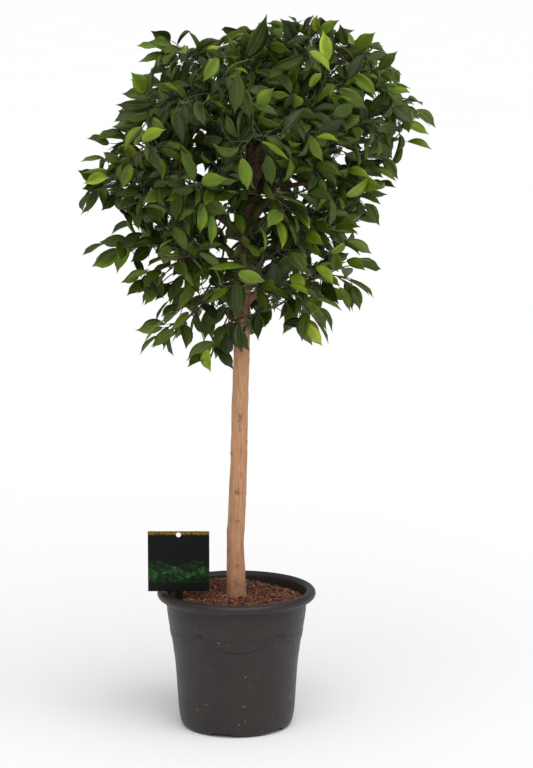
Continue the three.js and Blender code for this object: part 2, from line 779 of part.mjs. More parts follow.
function fallenLeafSolid() {
  const along = vector(Math.cos(FALLEN_TURN * DEGREES), Math.sin(FALLEN_TURN * DEGREES), 0);
  const leaf = {
    root: vector(...FALLEN_PLACE, 0), along, normal: DOWN, side: DOWN.clone().cross(along),
    length: FALLEN_LENGTH, width: FALLEN_LENGTH * LEAF_SHAPE, bend: FALLEN_BEND,
  };
  const rings = [
    ring(leaf.root, along, DOWN, FALLEN_STALK_RADIUS, 3, TRIANGLE_TURN),
    ...LEAF_STATIONS.map((share) => leafRing(leaf, share)),
  ];
  const tip = leafPoint(leaf, 1);
  const places = [...rings.flat(), tip];
  const lift = Math.max(...places.map((place) => soilSurface(place) - place.z)) + GAP;
  places.forEach((place) => place.setZ(place.z + lift));
  return skin(rings, tip);
}

// The whole object

const finish = (color, roughness) => new THREE.MeshStandardMaterial({ color, roughness, metalness: 0 });

function piece(name, geometry, material) {
  const mesh = new THREE.Mesh(geometry, material);
  mesh.name = name;
  return mesh;
}

const pottedBanyan = new THREE.Group();
pottedBanyan.add(piece('pot', geometryOf(potSolid()), finish(0x3e3a38, 0.5)));
pottedBanyan.add(piece('soil', geometryOf(soilSolid()), finish(0x3d241c, 0.95)));
pottedBanyan.add(piece('wood', geometryOf(woodSolid()), finish(0xb89270, 0.8)));

const label = piece('label', labelGeometry(), finish(0x10140f, 0.4));
label.position.set(...LABEL_PLACE);
pottedBanyan.add(label);

pottedBanyan.add(piece('fallen_leaf', geometryOf(fallenLeafSolid()), finish(0x5d7d2c, 0.6)));

planShoots().forEach((shoot, index) => {
  const name = `spray_${String(index + 1).padStart(2, '0')}`;
  pottedBanyan.add(piece(name, shootGeometry(shoot), finish(GREENS[index % GREENS.length], 0.45)));
});

export default pottedBanyan;
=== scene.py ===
# Potted chinese banyan: a small tree with a bare trunk and a leafy head, in a round plastic pot
# The frame and the scene are in metres. The plans below are in millimetres, as the part's source is,
# and points are turned into metres where a mesh is made.

import math

import bmesh
import bpy
import numpy as np
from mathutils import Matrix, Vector, noise


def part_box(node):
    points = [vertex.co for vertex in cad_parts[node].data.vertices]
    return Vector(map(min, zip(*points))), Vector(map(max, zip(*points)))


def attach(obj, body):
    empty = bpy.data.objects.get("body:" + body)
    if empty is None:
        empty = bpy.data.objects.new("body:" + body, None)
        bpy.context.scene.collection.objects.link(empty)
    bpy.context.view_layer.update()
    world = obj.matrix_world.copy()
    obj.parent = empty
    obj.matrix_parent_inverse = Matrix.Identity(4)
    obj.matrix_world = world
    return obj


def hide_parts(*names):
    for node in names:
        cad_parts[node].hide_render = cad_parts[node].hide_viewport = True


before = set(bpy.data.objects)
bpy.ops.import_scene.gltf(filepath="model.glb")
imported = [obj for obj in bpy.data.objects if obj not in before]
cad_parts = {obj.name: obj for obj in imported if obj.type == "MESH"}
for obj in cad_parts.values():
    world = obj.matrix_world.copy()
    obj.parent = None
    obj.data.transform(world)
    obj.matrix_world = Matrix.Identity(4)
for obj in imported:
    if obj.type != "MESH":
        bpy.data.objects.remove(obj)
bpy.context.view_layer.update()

MM = 0.001
WELD = 1e-6
DEGREES = math.pi / 180
UP = np.array([0.0, 0.0, 1.0])
DOWN = -UP
FRONT = np.array([0.0, -1.0, 0.0])


# Camera, in metres and degrees, worked out from the ellipses of the pot's rim and foot

CAMERA_PLACE = (0.04924, -4.0, 1.2053)
CAMERA_PITCH = 9.071
CAMERA_FOCUS_PX = 2501
PHOTO_HEIGHT_PX = 768
SENSOR = 36
CLIP_END = 400


def add_object(name, data):
    added = bpy.data.objects.new(name, data)
    bpy.context.scene.collection.objects.link(added)
    return added


def make_camera():
    data = bpy.data.cameras.new("camera")
    data.sensor_width = SENSOR
    data.lens = CAMERA_FOCUS_PX / PHOTO_HEIGHT_PX * SENSOR
    data.clip_end = CLIP_END
    camera = add_object("camera", data)
    camera.location = CAMERA_PLACE
    camera.rotation_euler = (math.radians(90 - CAMERA_PITCH), 0, 0)
    bpy.context.scene.camera = camera


# Numbers and directions

# The rule of the seeded numbers, which the part's source uses too
SEED_FACTOR = 2654435
SEED_STEP = 12345
DRAW_FACTOR = 1664525
DRAW_STEP = 1013904223
DRAW_RANGE = 2**32
DRAWS_PASSED = 3


def mix(a, b, share):
    return a + (b - a) * share


def unit(vector):
    return vector / math.sqrt(vector.dot(vector))


def cross(a, b):
    return np.array([a[1] * b[2] - a[2] * b[1], a[2] * b[0] - a[0] * b[2], a[0] * b[1] - a[1] * b[0]])


def square_to(direction, other):
    """The part of a direction that is square to another."""
    return unit(direction - other * direction.dot(other))


def rolled(facing, along, roll):
    """The direction square to another that looks most one way, rolled about it by an angle."""
    flat = square_to(facing, along)
    return flat * math.cos(roll) + cross(flat, along) * math.sin(roll)


def smooth_step(low, high, value):
    share = np.clip((value - low) / (high - low), 0, 1)
    return share * share * (3 - 2 * share)


def at_height(table, height):
    """The values of a table's other columns at a height, between its rows."""
    row = 1
    while row < len(table) - 1 and table[row][0] < height:
        row += 1
    low, high = table[row - 1], table[row]
    share = min(max((height - low[0]) / (high[0] - low[0]), 0), 1)
    return [mix(a, b, share) for a, b in zip(low[1:], high[1:])]


def smooth_curve(xs, ys, x):
    """A smooth curve through points, without overshoot between them."""
    xs, ys = np.asarray(xs, float), np.asarray(ys, float)
    slopes = np.diff(ys) / np.diff(xs)
    inner = np.where(slopes[:-1] * slopes[1:] > 0, (slopes[:-1] + slopes[1:]) / 2, 0)
    tangents = np.concatenate([slopes[:1], inner, slopes[-1:]])
    k = np.clip(np.searchsorted(xs, x) - 1, 0, len(xs) - 2)
    step = xs[k + 1] - xs[k]
    t = np.clip((x - xs[k]) / step, 0, 1)
    return (
        ys[k] * (1 + 2 * t) * (1 - t) ** 2
        + step * tangents[k] * t * (1 - t) ** 2
        + ys[k + 1] * t * t * (3 - 2 * t)
        + step * tangents[k + 1] * t * t * (t - 1)
    )


def drawer(seed):
    """Numbers between two limits, drawn from a seeded row."""
    state = (seed * SEED_FACTOR + SEED_STEP) % DRAW_RANGE

    def draw(low, high):
        nonlocal state
        state = (state * DRAW_FACTOR + DRAW_STEP) % DRAW_RANGE
        return mix(low, high, state / DRAW_RANGE)

    for _ in range(DRAWS_PASSED):
        draw(0, 1)
    return draw


# Meshes


class Skin:
    """Points and faces gathered for one mesh, with values for its points and a map for its faces."""

    def __init__(self, *values):
        self.points = []
        self.faces = []
        self.materials = []
        self.maps = []
        self.values = {name: [] for name in values}
        self.count = 0

    def add(self, points, *faces, material=0, corners=None, **values):
        """Adds points, one or more arrays of faces over them, the faces' map and the points' values."""
        points = np.asarray(points, float).reshape(-1, 3)
        self.points.append(points)
        for part in faces:
            self.faces.append(np.asarray(part) + self.count)
            self.materials.append(np.full(len(part), material))
        if corners is not None:
            self.maps.append(corners)
        for name, kept in self.values.items():
            kept.append(np.broadcast_to(values[name], (len(points), *np.shape(values[name])[1:])))
        self.count += len(points)

    def build(self, name, materials, smooth=True):
        """Makes the mesh's object, with each face as it was added."""
        points = np.concatenate(self.points) * MM
        sizes = np.concatenate([np.full(len(faces), faces.shape[1]) for faces in self.faces])
        corners = np.concatenate([faces.ravel() for faces in self.faces])
        mesh = bpy.data.meshes.new(name)
        mesh.vertices.add(len(points))
        mesh.vertices.foreach_set("co", points.ravel())
        mesh.loops.add(len(corners))
        mesh.loops.foreach_set("vertex_index", corners)
        mesh.polygons.add(len(sizes))
        mesh.polygons.foreach_set("loop_start", np.concatenate([[0], np.cumsum(sizes)[:-1]]))
        mesh.polygons.foreach_set("material_index", np.concatenate(self.materials))
        mesh.polygons.foreach_set("use_smooth", np.full(len(sizes), smooth))
        mesh.update(calc_edges=True)
        mesh.validate()
        for value, kept in self.values.items():
            array = np.concatenate(kept)
            kind = "FLOAT" if array.ndim == 1 else "FLOAT_VECTOR"
            field = "value" if array.ndim == 1 else "vector"
            mesh.attributes.new(value, kind, "POINT").data.foreach_set(field, array.ravel())
        if self.maps:
            mesh.uv_layers.new(name="OFBake").uv.foreach_set("vector", np.concatenate(self.maps).ravel())
        for material in materials:
            mesh.materials.append(material)
        return add_object(name, mesh)


def place(piece, slot, *nodes):
    """Gives a piece its body and hides the part's nodes that it stands for. The slot is not used."""
    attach(piece, "root")
    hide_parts(*nodes)


def grid_faces(rows, columns, closed=False):
    """Faces of a grid of points, row by row, closed round each row where wanted."""
    last = columns if closed else columns - 1
    i, j = np.meshgrid(np.arange(rows - 1), np.arange(last), indexing="ij")
    here, there = i * columns + j, i * columns + (j + 1) % columns
    return np.stack([here, there, there + columns, here + columns], axis=-1).reshape(-1, 4)


def end_caps(rings, sides):
    """Fans that close a grid of rings at its two ends, to the two points that follow the grid."""
    around = np.arange(sides)
    following = (around + 1) % sides
    end = (rings - 1) * sides
    middle = np.full(sides, rings * sides)
    return np.vstack([
        np.stack([middle, following, around], axis=-1),
        np.stack([end + around, end + following, middle + 1], axis=-1),
    ])


def ring_points(middle, along, normal, radius, sides):
    """Points round a place, square to a direction."""
    side = cross(normal, along)
    angles = 2 * np.pi * np.arange(sides) / sides
    return middle + radius * (np.outer(np.cos(angles), side) + np.outer(np.sin(angles), normal))


def tube(places, radii, sides, normal):
    """Points, faces and caps of a tube along places, closed by a point at both ends."""
    places = np.asarray(places, float)
    before = np.vstack([places[:1], places[:-1]])
    after = np.vstack([places[1:], places[-1:]])
    rings = []
    for middle, start, end, radius in zip(places, before, after, radii):
        along = unit(end - start)
        normal = square_to(normal, along)
        rings.append(ring_points(middle, along, normal, radius, sides))
    points = np.concatenate([*rings, places[:1], places[-1:]])
    return points, grid_faces(len(places), sides, closed=True), end_caps(len(places), sides)


# Materials


class Nodes:
    """A material's node tree, with short calls for the nodes that this scene uses."""

    def __init__(self, name):
        self.material = bpy.data.materials.new(name)
        self.material.use_nodes = True
        self.tree = self.material.node_tree
        self.shader = self.tree.nodes["Principled BSDF"]

    def new(self, kind, inputs=None, **settings):
        node = self.tree.nodes.new(kind)
        for name, value in settings.items():
            setattr(node, name, value)
        for name, value in (inputs or {}).items():
            self.set(node.inputs[name], value)
        return node

    def set(self, socket, value):
        if isinstance(value, bpy.types.NodeSocket):
            self.tree.links.new(value, socket)
        elif socket.type == "RGBA" and len(value) == 3:
            socket.default_value = (*value, 1)
        else:
            socket.default_value = value

    def shade(self, **inputs):
        for name, value in inputs.items():
            self.set(self.shader.inputs[name.replace("_", " ")], value)

    def place(self):
        return self.new("ShaderNodeNewGeometry").outputs["Position"]

    def value(self, name, output="Fac"):
        return self.new("ShaderNodeAttribute", attribute_name=name).outputs[output]

    def split(self, vector):
        """The three numbers of a vector."""
        return self.new("ShaderNodeSeparateXYZ", {"Vector": vector}).outputs

    def noise(self, where, scale, detail=3, roughness=0.5, stretch=None):
        if stretch:
            where = self.new("ShaderNodeMapping", {"Vector": where, "Scale": stretch}).outputs["Vector"]
        inputs = {"Vector": where, "Scale": scale, "Detail": detail, "Roughness": roughness}
        return self.new("ShaderNodeTexNoise", inputs).outputs["Fac"]

    def cells(self, where, scale):
        return self.new("ShaderNodeTexVoronoi", {"Vector": where, "Scale": scale}).outputs["Distance"]

    def math(self, operation, *values):
        node = self.tree.nodes.new("ShaderNodeMath")
        node.operation = operation
        for socket, value in zip(node.inputs, values):
            self.set(socket, value)
        return node.outputs[0]

    def plus(self, a, b):
        return self.math("ADD", a, b)

    def minus(self, a, b):
        return self.math("SUBTRACT", a, b)

    def times(self, a, b):
        return self.math("MULTIPLY", a, b)

    def spread(self, value, low, high, to_low=0.0, to_high=1.0, smooth=True):
        """A value's stretch between two limits, laid out between two others."""
        kind = "SMOOTHSTEP" if smooth else "LINEAR"
        inputs = {"Value": value, "From Min": low, "From Max": high, "To Min": to_low, "To Max": to_high}
        return self.new("ShaderNodeMapRange", inputs, interpolation_type=kind).outputs["Result"]

    def blend(self, share, a, b, kind="MIX"):
        node = self.tree.nodes.new("ShaderNodeMix")
        node.data_type = "RGBA"
        node.blend_type = kind
        colours = [socket for socket in node.inputs if socket.type == "RGBA"]
        self.set(node.inputs[0], share)
        self.set(colours[0], a)
        self.set(colours[1], b)
        return [socket for socket in node.outputs if socket.type == "RGBA"][0]

    def ramp(self, value, stops):
        node = self.tree.nodes.new("ShaderNodeValToRGB")
        self.set(node.inputs["Fac"], value)
        elements = node.color_ramp.elements
        while len(elements) < len(stops):
            elements.new(0.5)
        for element, (position, colour) in zip(elements, stops):
            element.position = position
            element.color = (*colour, 1)
        return node.outputs["Color"]

    def bump(self, height, distance, strength, below=None):
        inputs = {"Height": height, "Distance": distance, "Strength": strength}
        if below:
            inputs["Normal"] = below
        return self.new("ShaderNodeBump", inputs).outputs["Normal"]


# A noise is given by its scale, its detail, its roughness and its stretch along each axis. A ramp is a list
# of places with their colours. What is shown, a roughness and a width are given by two limits of a value and
# by what it becomes at them, which is 0 and 1 where that is left out. A relief has a depth and a strength.

# The darkest leaf colour: dark green, with a blue-grey cast that is painted sheen
DARK_LEAF_WITH_PAINTED_SHEEN = (0.0175, 0.029, 0.0095)
DEEP_LEAF = (0.032, 0.053, 0.0035)
PLAIN_LEAF = (0.066, 0.109, 0.004)
BRIGHT_LEAF = (0.1305, 0.2115, 0.0109)
YOUNG_LEAF = (0.2418, 0.3445, 0.0194)
YELLOW_LEAF = (0.5078, 0.5562, 0.0544)
LEAF_RAMP = [
    (0.0, DARK_LEAF_WITH_PAINTED_SHEEN), (0.25, DEEP_LEAF), (0.5, PLAIN_LEAF), (0.72, BRIGHT_LEAF),
    (0.88, YOUNG_LEAF), (1.0, YELLOW_LEAF),
]
LEAF_BLOTCHES = (60, 4)
LEAF_GRAIN = (900, 2)
BLOTCH_SHADE = (0.3, 0.7, -0.07, 0.07)
# Painted shade on one half of each blade and painted light on the other, as of its fold
HALF_PAINTED_SHADE = (-0.6, 0.6, -0.055, 0.055)
# Painted shade along the middle of each blade and painted light towards its edges
PAINTED_MIDDLE_SHADE_AND_EDGE_LIGHT = (0.3, 1, -0.02, 0.04)
EDGE_SHOWN = (0.86, 1.0, 0, 0.25)
EDGE_COLOUR = (0.11, 0.19, 0.05)
RIB_HALF_WIDTH = (0, 1, 0.075, 0.03)
RIB_SIDES = (0.5, 1.3)
RIB_COLOUR = (0.15, 0.22, 0.05)
RIB_STRENGTH = 0.3
VEINS = 11
VEIN_SLANT = 0.16
VEIN_CRESTS = (0.86, 1.0)
VEIN_ENDS = (1, 0.75)
VEIN_COLOUR = (0.14, 0.22, 0.05)
VEIN_STRENGTH = 0.12
VEIN_RELIEF = 0.35
LEAF_BELOW = (0.1148, 0.1632, 0.0363)
BELOW_STRENGTH = 0.55
LEAF_ROUGHNESS = (0, 1.3, 0.62, 0.31)
BLOTCH_SHINE = 0.3
LEAF_SPECULAR = 0.27
LEAF_RELIEF = (0.0005, 0.6)
LEAF_GRAIN_RELIEF = (0.0001, 0.3)


def leaf_material():
    nodes = Nodes("leaf")
    along, across, top = nodes.split(nodes.value("leaf_place", "Vector"))
    off_middle = nodes.math("ABSOLUTE", across)
    where = nodes.place()
    blotch = nodes.noise(where, *LEAF_BLOTCHES)
    shade = nodes.plus(nodes.value("leaf_tint"), nodes.spread(blotch, *BLOTCH_SHADE, smooth=False))
    # painted shade on one half of the blade, painted light on the other
    shade = nodes.plus(shade, nodes.spread(across, *HALF_PAINTED_SHADE))
    # painted shade along the middle of the blade, painted light towards its edges
    shade = nodes.plus(shade, nodes.spread(off_middle, *PAINTED_MIDDLE_SHADE_AND_EDGE_LIGHT, smooth=False))
    colour = nodes.blend(nodes.spread(off_middle, *EDGE_SHOWN), nodes.ramp(shade, LEAF_RAMP), EDGE_COLOUR)
    rib_half = nodes.spread(along, *RIB_HALF_WIDTH, smooth=False)
    rib = nodes.minus(1, nodes.spread(nodes.math("DIVIDE", off_middle, rib_half), *RIB_SIDES))
    slanted = nodes.minus(along, nodes.times(off_middle, VEIN_SLANT))
    waves = nodes.math("SINE", nodes.times(slanted, 2 * math.pi * VEINS))
    veins = nodes.times(nodes.spread(waves, *VEIN_CRESTS), nodes.spread(off_middle, *VEIN_ENDS))
    colour = nodes.blend(nodes.times(veins, VEIN_STRENGTH), colour, VEIN_COLOUR)
    colour = nodes.blend(nodes.times(rib, RIB_STRENGTH), colour, RIB_COLOUR)
    shine = nodes.plus(top, nodes.times(blotch, BLOTCH_SHINE))
    relief = nodes.minus(nodes.times(rib, -1), nodes.times(veins, VEIN_RELIEF))
    grain = nodes.noise(where, *LEAF_GRAIN)
    nodes.shade(
        Base_Color=nodes.blend(top, nodes.blend(BELOW_STRENGTH, colour, LEAF_BELOW), colour),
        Roughness=nodes.spread(shine, *LEAF_ROUGHNESS, smooth=False),
        Specular_IOR_Level=LEAF_SPECULAR,
        Normal=nodes.bump(grain, *LEAF_GRAIN_RELIEF, nodes.bump(relief, *LEAF_RELIEF)),
    )
    return nodes.material


TWIG_BARK = (500, 4, 0.5, (1, 1, 0.4))
OLD_TWIG = [(0.3, (0.07, 0.034, 0.018)), (0.7, (0.19, 0.105, 0.058))]
GREEN_TWIG = [(0.3, (0.026, 0.032, 0.010)), (0.7, (0.060, 0.066, 0.022))]
GREENNESS = (0.3, 0.9)
TWIG_ROUGHNESS = 0.62
TWIG_RELIEF = (0.0004, 0.6)


def twig_material():
    nodes = Nodes("twig")
    youth = nodes.split(nodes.value("leaf_place", "Vector"))[1]
    bark = nodes.noise(nodes.place(), *TWIG_BARK)
    old, green = nodes.ramp(bark, OLD_TWIG), nodes.ramp(bark, GREEN_TWIG)
    nodes.shade(
        Base_Color=nodes.blend(nodes.spread(youth, *GREENNESS), old, green),
        Roughness=TWIG_ROUGHNESS,
        Normal=nodes.bump(bark, *TWIG_RELIEF),
    )
    return nodes.material


BARK_STREAKS = (420, 5, 0.6, (1, 1, 0.09))
BARK_PATCHES = (55, 4, 0.5, (1, 1, 0.35))
BARK_FINE = (1500, 3, 0.5, (1, 1, 0.5))
BARK_PORES = (620, 3, 0.6, (1, 1, 3.4))
BARK_LICHEN = (130, 5, 0.65)
TAN_BARK = [
    (0.28, (0.2652, 0.1153, 0.0461)), (0.45, (0.4612, 0.2259, 0.1003)), (0.62, (0.588, 0.3113, 0.1499)),
    (0.8, (0.7148, 0.4266, 0.2363)),
]
RED_BARK = [(0.3, (0.045, 0.017, 0.010)), (0.55, (0.12, 0.048, 0.028)), (0.75, (0.22, 0.105, 0.06))]
SCAR_BARK = [(0.35, (0.10, 0.030, 0.016)), (0.7, (0.26, 0.09, 0.048))]
PATCHES_SHOWN = (0.42, 0.68, 0, 0.6)
PATCH_COLOUR = (0.3459, 0.1441, 0.0714)
PORES_SHOWN = (0.60, 0.70, 0, 0.6)
PORE_COLOUR = (0.2536, 0.098, 0.0461)
LICHEN_SHOWN = (0.6, 0.72, 0, 0.35)
LICHEN_COLOUR = (0.4612, 0.3805, 0.2421)
# Heights over which the bark changes, in metres, and how much their borders wander
RED_HEIGHTS = (0.64, 0.76)
FOOT_HEIGHTS = (0.262, 0.208, 0, 0.62)
DULL_HEIGHTS = (0.56, 0.38)
BORDER_WANDER = (0.3, 0.7, -0.03, 0.03)
FOOT_COLOUR = (0.20, 0.078, 0.038)
DULL_COLOUR = (0.86, 0.81, 0.79)
SCARS_SHOWN = (0.1, 0.8, 0, 0.85)
FLECKS_SHOWN = (0.35, 0.7, 0.0, 0.25)
FLECK_COLOUR = (0.70, 0.49, 0.33)
BARK_ROUGHNESS = (0.3, 0.7, 0.62, 0.85)
STREAK_RELIEF = (0.0011, 0.8)
FINE_RELIEF = (0.0004, 0.7)


def bark_material():
    nodes = Nodes("bark")
    where = nodes.place()
    streaks = nodes.noise(where, *BARK_STREAKS)
    patches = nodes.noise(where, *BARK_PATCHES)
    fine = nodes.noise(where, *BARK_FINE)
    pores = nodes.spread(nodes.noise(where, *BARK_PORES), *PORES_SHOWN)
    lichen = nodes.spread(nodes.noise(where, *BARK_LICHEN), *LICHEN_SHOWN)
    tan = nodes.blend(nodes.spread(patches, *PATCHES_SHOWN), nodes.ramp(streaks, TAN_BARK), PATCH_COLOUR)
    tan = nodes.blend(lichen, nodes.blend(pores, tan, PORE_COLOUR), LICHEN_COLOUR)
    height = nodes.plus(nodes.split(where)[2], nodes.spread(patches, *BORDER_WANDER, smooth=False))
    base = nodes.blend(nodes.spread(height, *RED_HEIGHTS), tan, nodes.ramp(streaks, RED_BARK))
    base = nodes.blend(nodes.spread(height, *FOOT_HEIGHTS), base, FOOT_COLOUR)
    base = nodes.blend(nodes.spread(height, *DULL_HEIGHTS), base, DULL_COLOUR, "MULTIPLY")
    scars = nodes.spread(nodes.value("scar"), *SCARS_SHOWN)
    base = nodes.blend(scars, base, nodes.ramp(fine, SCAR_BARK))
    nodes.shade(
        Base_Color=nodes.blend(nodes.spread(fine, *FLECKS_SHOWN), base, FLECK_COLOUR),
        Roughness=nodes.spread(fine, *BARK_ROUGHNESS, smooth=False),
        Normal=nodes.bump(fine, *FINE_RELIEF, nodes.bump(streaks, *STREAK_RELIEF)),
    )
    return nodes.material


POT_CLOUDS = (22, 4)
POT_DUST = (160, 5, 0.65, (1, 1, 0.3))
POT_GRAIN = (1300, 2)
POT_RIPPLES = (30, 2, 0.5, (1, 1, 2.5))
POT_RAMP = [(0.3, (0.016, 0.0123, 0.011)), (0.7, (0.0211, 0.0162, 0.0144))]
DUST_SHOWN = (0.55, 0.78, 0, 0.22)
DUST_COLOUR = (0.12, 0.105, 0.095)
# Pale specks on the pot, and a broken ring of dirt round its wall, whose height and width are in metres
SPECK_SCALE = 95
SPECK_SIZE = (0.13, 0.07)
SPECK_CHANCE = (31, 1)
SPECKS_SHOWN = (0.60, 0.64)
SPECK_STRENGTH = 0.5
SPECK_COLOUR = (0.38, 0.33, 0.27)
DIRT_HEIGHT = 0.0545
DIRT_WIDTH = (0.0016, 0.0006)
DIRT_BREAKS = (75, 3)
DIRT_SHOWN = (0.54, 0.62, 0, 0.7)
DIRT_COLOUR = (0.15, 0.082, 0.055)
# The swag lines, knot lobes, ribbons and the lines under the rings are painted near black: painted shadow
PAINTED_GROOVE_SHADOW_STRENGTH = 0.9
PAINTED_GROOVE_SHADOW = (0.003, 0.0025, 0.0024)
POT_ROUGHNESS = (0.3, 0.75, 0.38, 0.56)
POT_SPECULAR = 0.38
POT_GRAIN_RELIEF = (0.00008, 0.5)
POT_RIPPLE_RELIEF = (0.0012, 0.25)


def pot_material():
    nodes = Nodes("pot")
    where = nodes.place()
    dust = nodes.noise(where, *POT_DUST)
    base = nodes.ramp(nodes.noise(where, *POT_CLOUDS), POT_RAMP)
    base = nodes.blend(nodes.spread(dust, *DUST_SHOWN), base, DUST_COLOUR)
    specks = nodes.times(nodes.spread(nodes.cells(where, SPECK_SCALE), *SPECK_SIZE),
                         nodes.spread(nodes.noise(where, *SPECK_CHANCE), *SPECKS_SHOWN))
    base = nodes.blend(nodes.times(specks, SPECK_STRENGTH), base, SPECK_COLOUR)
    off_ring = nodes.math("ABSOLUTE", nodes.minus(nodes.split(where)[2], DIRT_HEIGHT))
    dirt = nodes.times(nodes.spread(off_ring, *DIRT_WIDTH),
                       nodes.spread(nodes.noise(where, *DIRT_BREAKS), *DIRT_SHOWN))
    base = nodes.blend(dirt, base, DIRT_COLOUR)
    ripple = nodes.bump(nodes.noise(where, *POT_RIPPLES), *POT_RIPPLE_RELIEF)
    # Painted shadow: near black on the swag lines, knot lobes, ribbons and under the rings
    nodes.shade(
        Base_Color=nodes.blend(nodes.times(nodes.value("groove"), PAINTED_GROOVE_SHADOW_STRENGTH), base, PAINTED_GROOVE_SHADOW),
        Roughness=nodes.spread(dust, *POT_ROUGHNESS, smooth=False),
        Specular_IOR_Level=POT_SPECULAR,
        Normal=nodes.bump(nodes.noise(where, *POT_GRAIN), *POT_GRAIN_RELIEF, ripple),
    )
    return nodes.material


SOIL_GRAIN = (700, 4, 0.7)
SOIL_FIBRES = (480, 4, 0.6, (1, 0.25, 1))
SOIL_RAMP = [
    (0.0, (0.012, 0.005, 0.003)), (0.25, (0.052, 0.0145, 0.006)), (0.5, (0.135, 0.038, 0.014)),
    (0.72, (0.27, 0.090, 0.032)), (0.88, (0.44, 0.21, 0.090)), (0.93, (0.55, 0.50, 0.45)),
    (1.0, (0.80, 0.76, 0.72)),
]
FIBRE_RAMP = [(0.3, (0.35, 0.30, 0.27)), (0.7, (1.0, 0.95, 0.9))]
FIBRE_STRENGTH = 0.75
SOIL_DULLNESS = 0.8
SOIL_RELIEF = (0.0012, 0.8)


def soil_material():
    nodes = Nodes("soil")
    where = nodes.place()
    base = nodes.ramp(nodes.value("tint"), SOIL_RAMP)
    fibres = nodes.ramp(nodes.noise(where, *SOIL_FIBRES), FIBRE_RAMP)
    nodes.shade(
        Base_Color=nodes.blend(FIBRE_STRENGTH, base, fibres, "MULTIPLY"),
        Roughness=SOIL_DULLNESS,
        Normal=nodes.bump(nodes.noise(where, *SOIL_GRAIN), *SOIL_RELIEF),
    )
    return nodes.material


# Hills of the label's print: height and waves as shares of the card, where the waves start, and colour
HILLS = [
    (0.48, 3.1, 0.4, (0.003, 0.009, 0.003)), (0.37, 4.3, 2.0, (0.007, 0.025, 0.005)),
    (0.26, 3.7, 4.1, (0.003, 0.011, 0.003)),
]
HILL_SWING = 0.05
HILL_EDGE = (0, 0.02)
HILL_MOTTLE = (13, 6, 0.75, (1, 1, 0))
MOTTLE_SHOWN = (0.45, 0.62)
MOTTLE_LIGHT = 4.2
SKY_COLOUR = (0.0035, 0.0042, 0.0035)
LOW_BAND = (0.15, 0.145)
LOW_BAND_COLOUR = (0.0045, 0.0052, 0.0045)
TOP_STRIP = (0.93, 0.955)
STRIP_MOTTLE = (34, 4, 0.7, (1, 0.6, 0))
STRIP_RAMP = [(0.4, (0.006, 0.006, 0.003)), (0.52, (0.16, 0.13, 0.012)), (0.66, (0.35, 0.09, 0.02))]
CARD_BACK = (0.004, 0.005, 0.004)
CARD_GRAIN = (900, 3)
CARD_ROUGHNESS = (0.3, 0.7, 0.5, 0.56)
CARD_SPECULAR = 0.12
CARD_RELIEF = (0.00003, 0.4)


def label_material():
    """Dark card with a plain print of soft rolling hills under a night sky."""
    nodes = Nodes("label")
    where = nodes.value("card_place", "Vector")
    x, z, front = nodes.split(where)
    colour = SKY_COLOUR
    mottle = nodes.spread(nodes.noise(where, *HILL_MOTTLE), *MOTTLE_SHOWN)
    for height, waves, start, hill in HILLS:
        crest = nodes.math("SINE", nodes.plus(nodes.times(x, waves * math.pi), start))
        under = nodes.minus(nodes.plus(nodes.times(crest, HILL_SWING), height), z)
        light = tuple(MOTTLE_LIGHT * part for part in hill)
        colour = nodes.blend(nodes.spread(under, *HILL_EDGE), colour, nodes.blend(mottle, hill, light))
    colour = nodes.blend(nodes.spread(z, *LOW_BAND), colour, LOW_BAND_COLOUR)
    strip = nodes.ramp(nodes.noise(where, *STRIP_MOTTLE), STRIP_RAMP)
    colour = nodes.blend(nodes.spread(z, *TOP_STRIP), colour, strip)
    grain = nodes.noise(nodes.place(), *CARD_GRAIN)
    nodes.shade(
        Base_Color=nodes.blend(front, CARD_BACK, colour),
        Roughness=nodes.spread(grain, *CARD_ROUGHNESS, smooth=False),
        Specular_IOR_Level=CARD_SPECULAR,
        Normal=nodes.bump(grain, *CARD_RELIEF),
    )
    return nodes.material


FLOOR_CLOUDS = (0.7, 2)
FLOOR_RAMP = [(0.2, (0.925, 0.925, 0.925)), (0.8, (0.95, 0.95, 0.95))]
FLOOR_ROUGHNESS = 0.9
FLOOR_SPECULAR = 0.2


def floor_material():
    nodes = Nodes("floor")
    nodes.shade(
        Base_Color=nodes.ramp(nodes.noise(nodes.place(), *FLOOR_CLOUDS), FLOOR_RAMP),
        Roughness=FLOOR_ROUGHNESS,
        Specular_IOR_Level=FLOOR_SPECULAR,
    )
    return nodes.material


# Pot

POT_SIDES = 400
RIM_RADIUS = 130
BEAD_RADIUS = 8
RIM_TOP = 228.3
WALL = 2.5
FOOT_INNER_RADIUS = 74
FOOT_HEIGHT = 7
PAD_RADIUS = 24
POT_FLOOR = 10
POT_FLOOR_EDGE = 4
DRAIN_HOLES = 4
DRAIN_RADIUS = 6
DRAIN_CIRCLE = 52
DRAIN_SIDES = 28
SHARP_ANGLE = 40
NECK = 209
# Height and radius of the wall's outside
WALL_OUTSIDE = [[0, 84.5], [1.2, 87.2], [4, 90], [12, 93], [60, 97.6], [106, 101], [140, 105.5], [187, 113.3],
                [209, 115]]
NOTCHES = 6
NOTCH_WIDTH = 41
NOTCH_AZIMUTH = -104
NOTCH_HEIGHT = 6.6
SWAGS = 5
SWAG_KNOT_AZIMUTH = -90 - 33
SWAG_TOP = 171
SWAG_UPPER_SAG = 6.5
SWAG_LOWER_SAG = 25
SWAG_RELIEF = 1.1
SWAG_LINE = 1.5
SWAG_EDGES = (0.2, 0.4)
SWAG_FADE = 0.035
CLOTH_RISE = 0.6
CLOTH_BELLY = 0.4
CLOTH_FOLD = 0.10
CLOTH_FOLDS = 6
HEM = 0.35
HEM_WIDTH = 1.6
UPPER_HEM = 0.25
KNOT = (4.2, 2.6)
KNOT_RELIEF = 1.2
RIBBON_SLANTS = (0.45, 1.15)
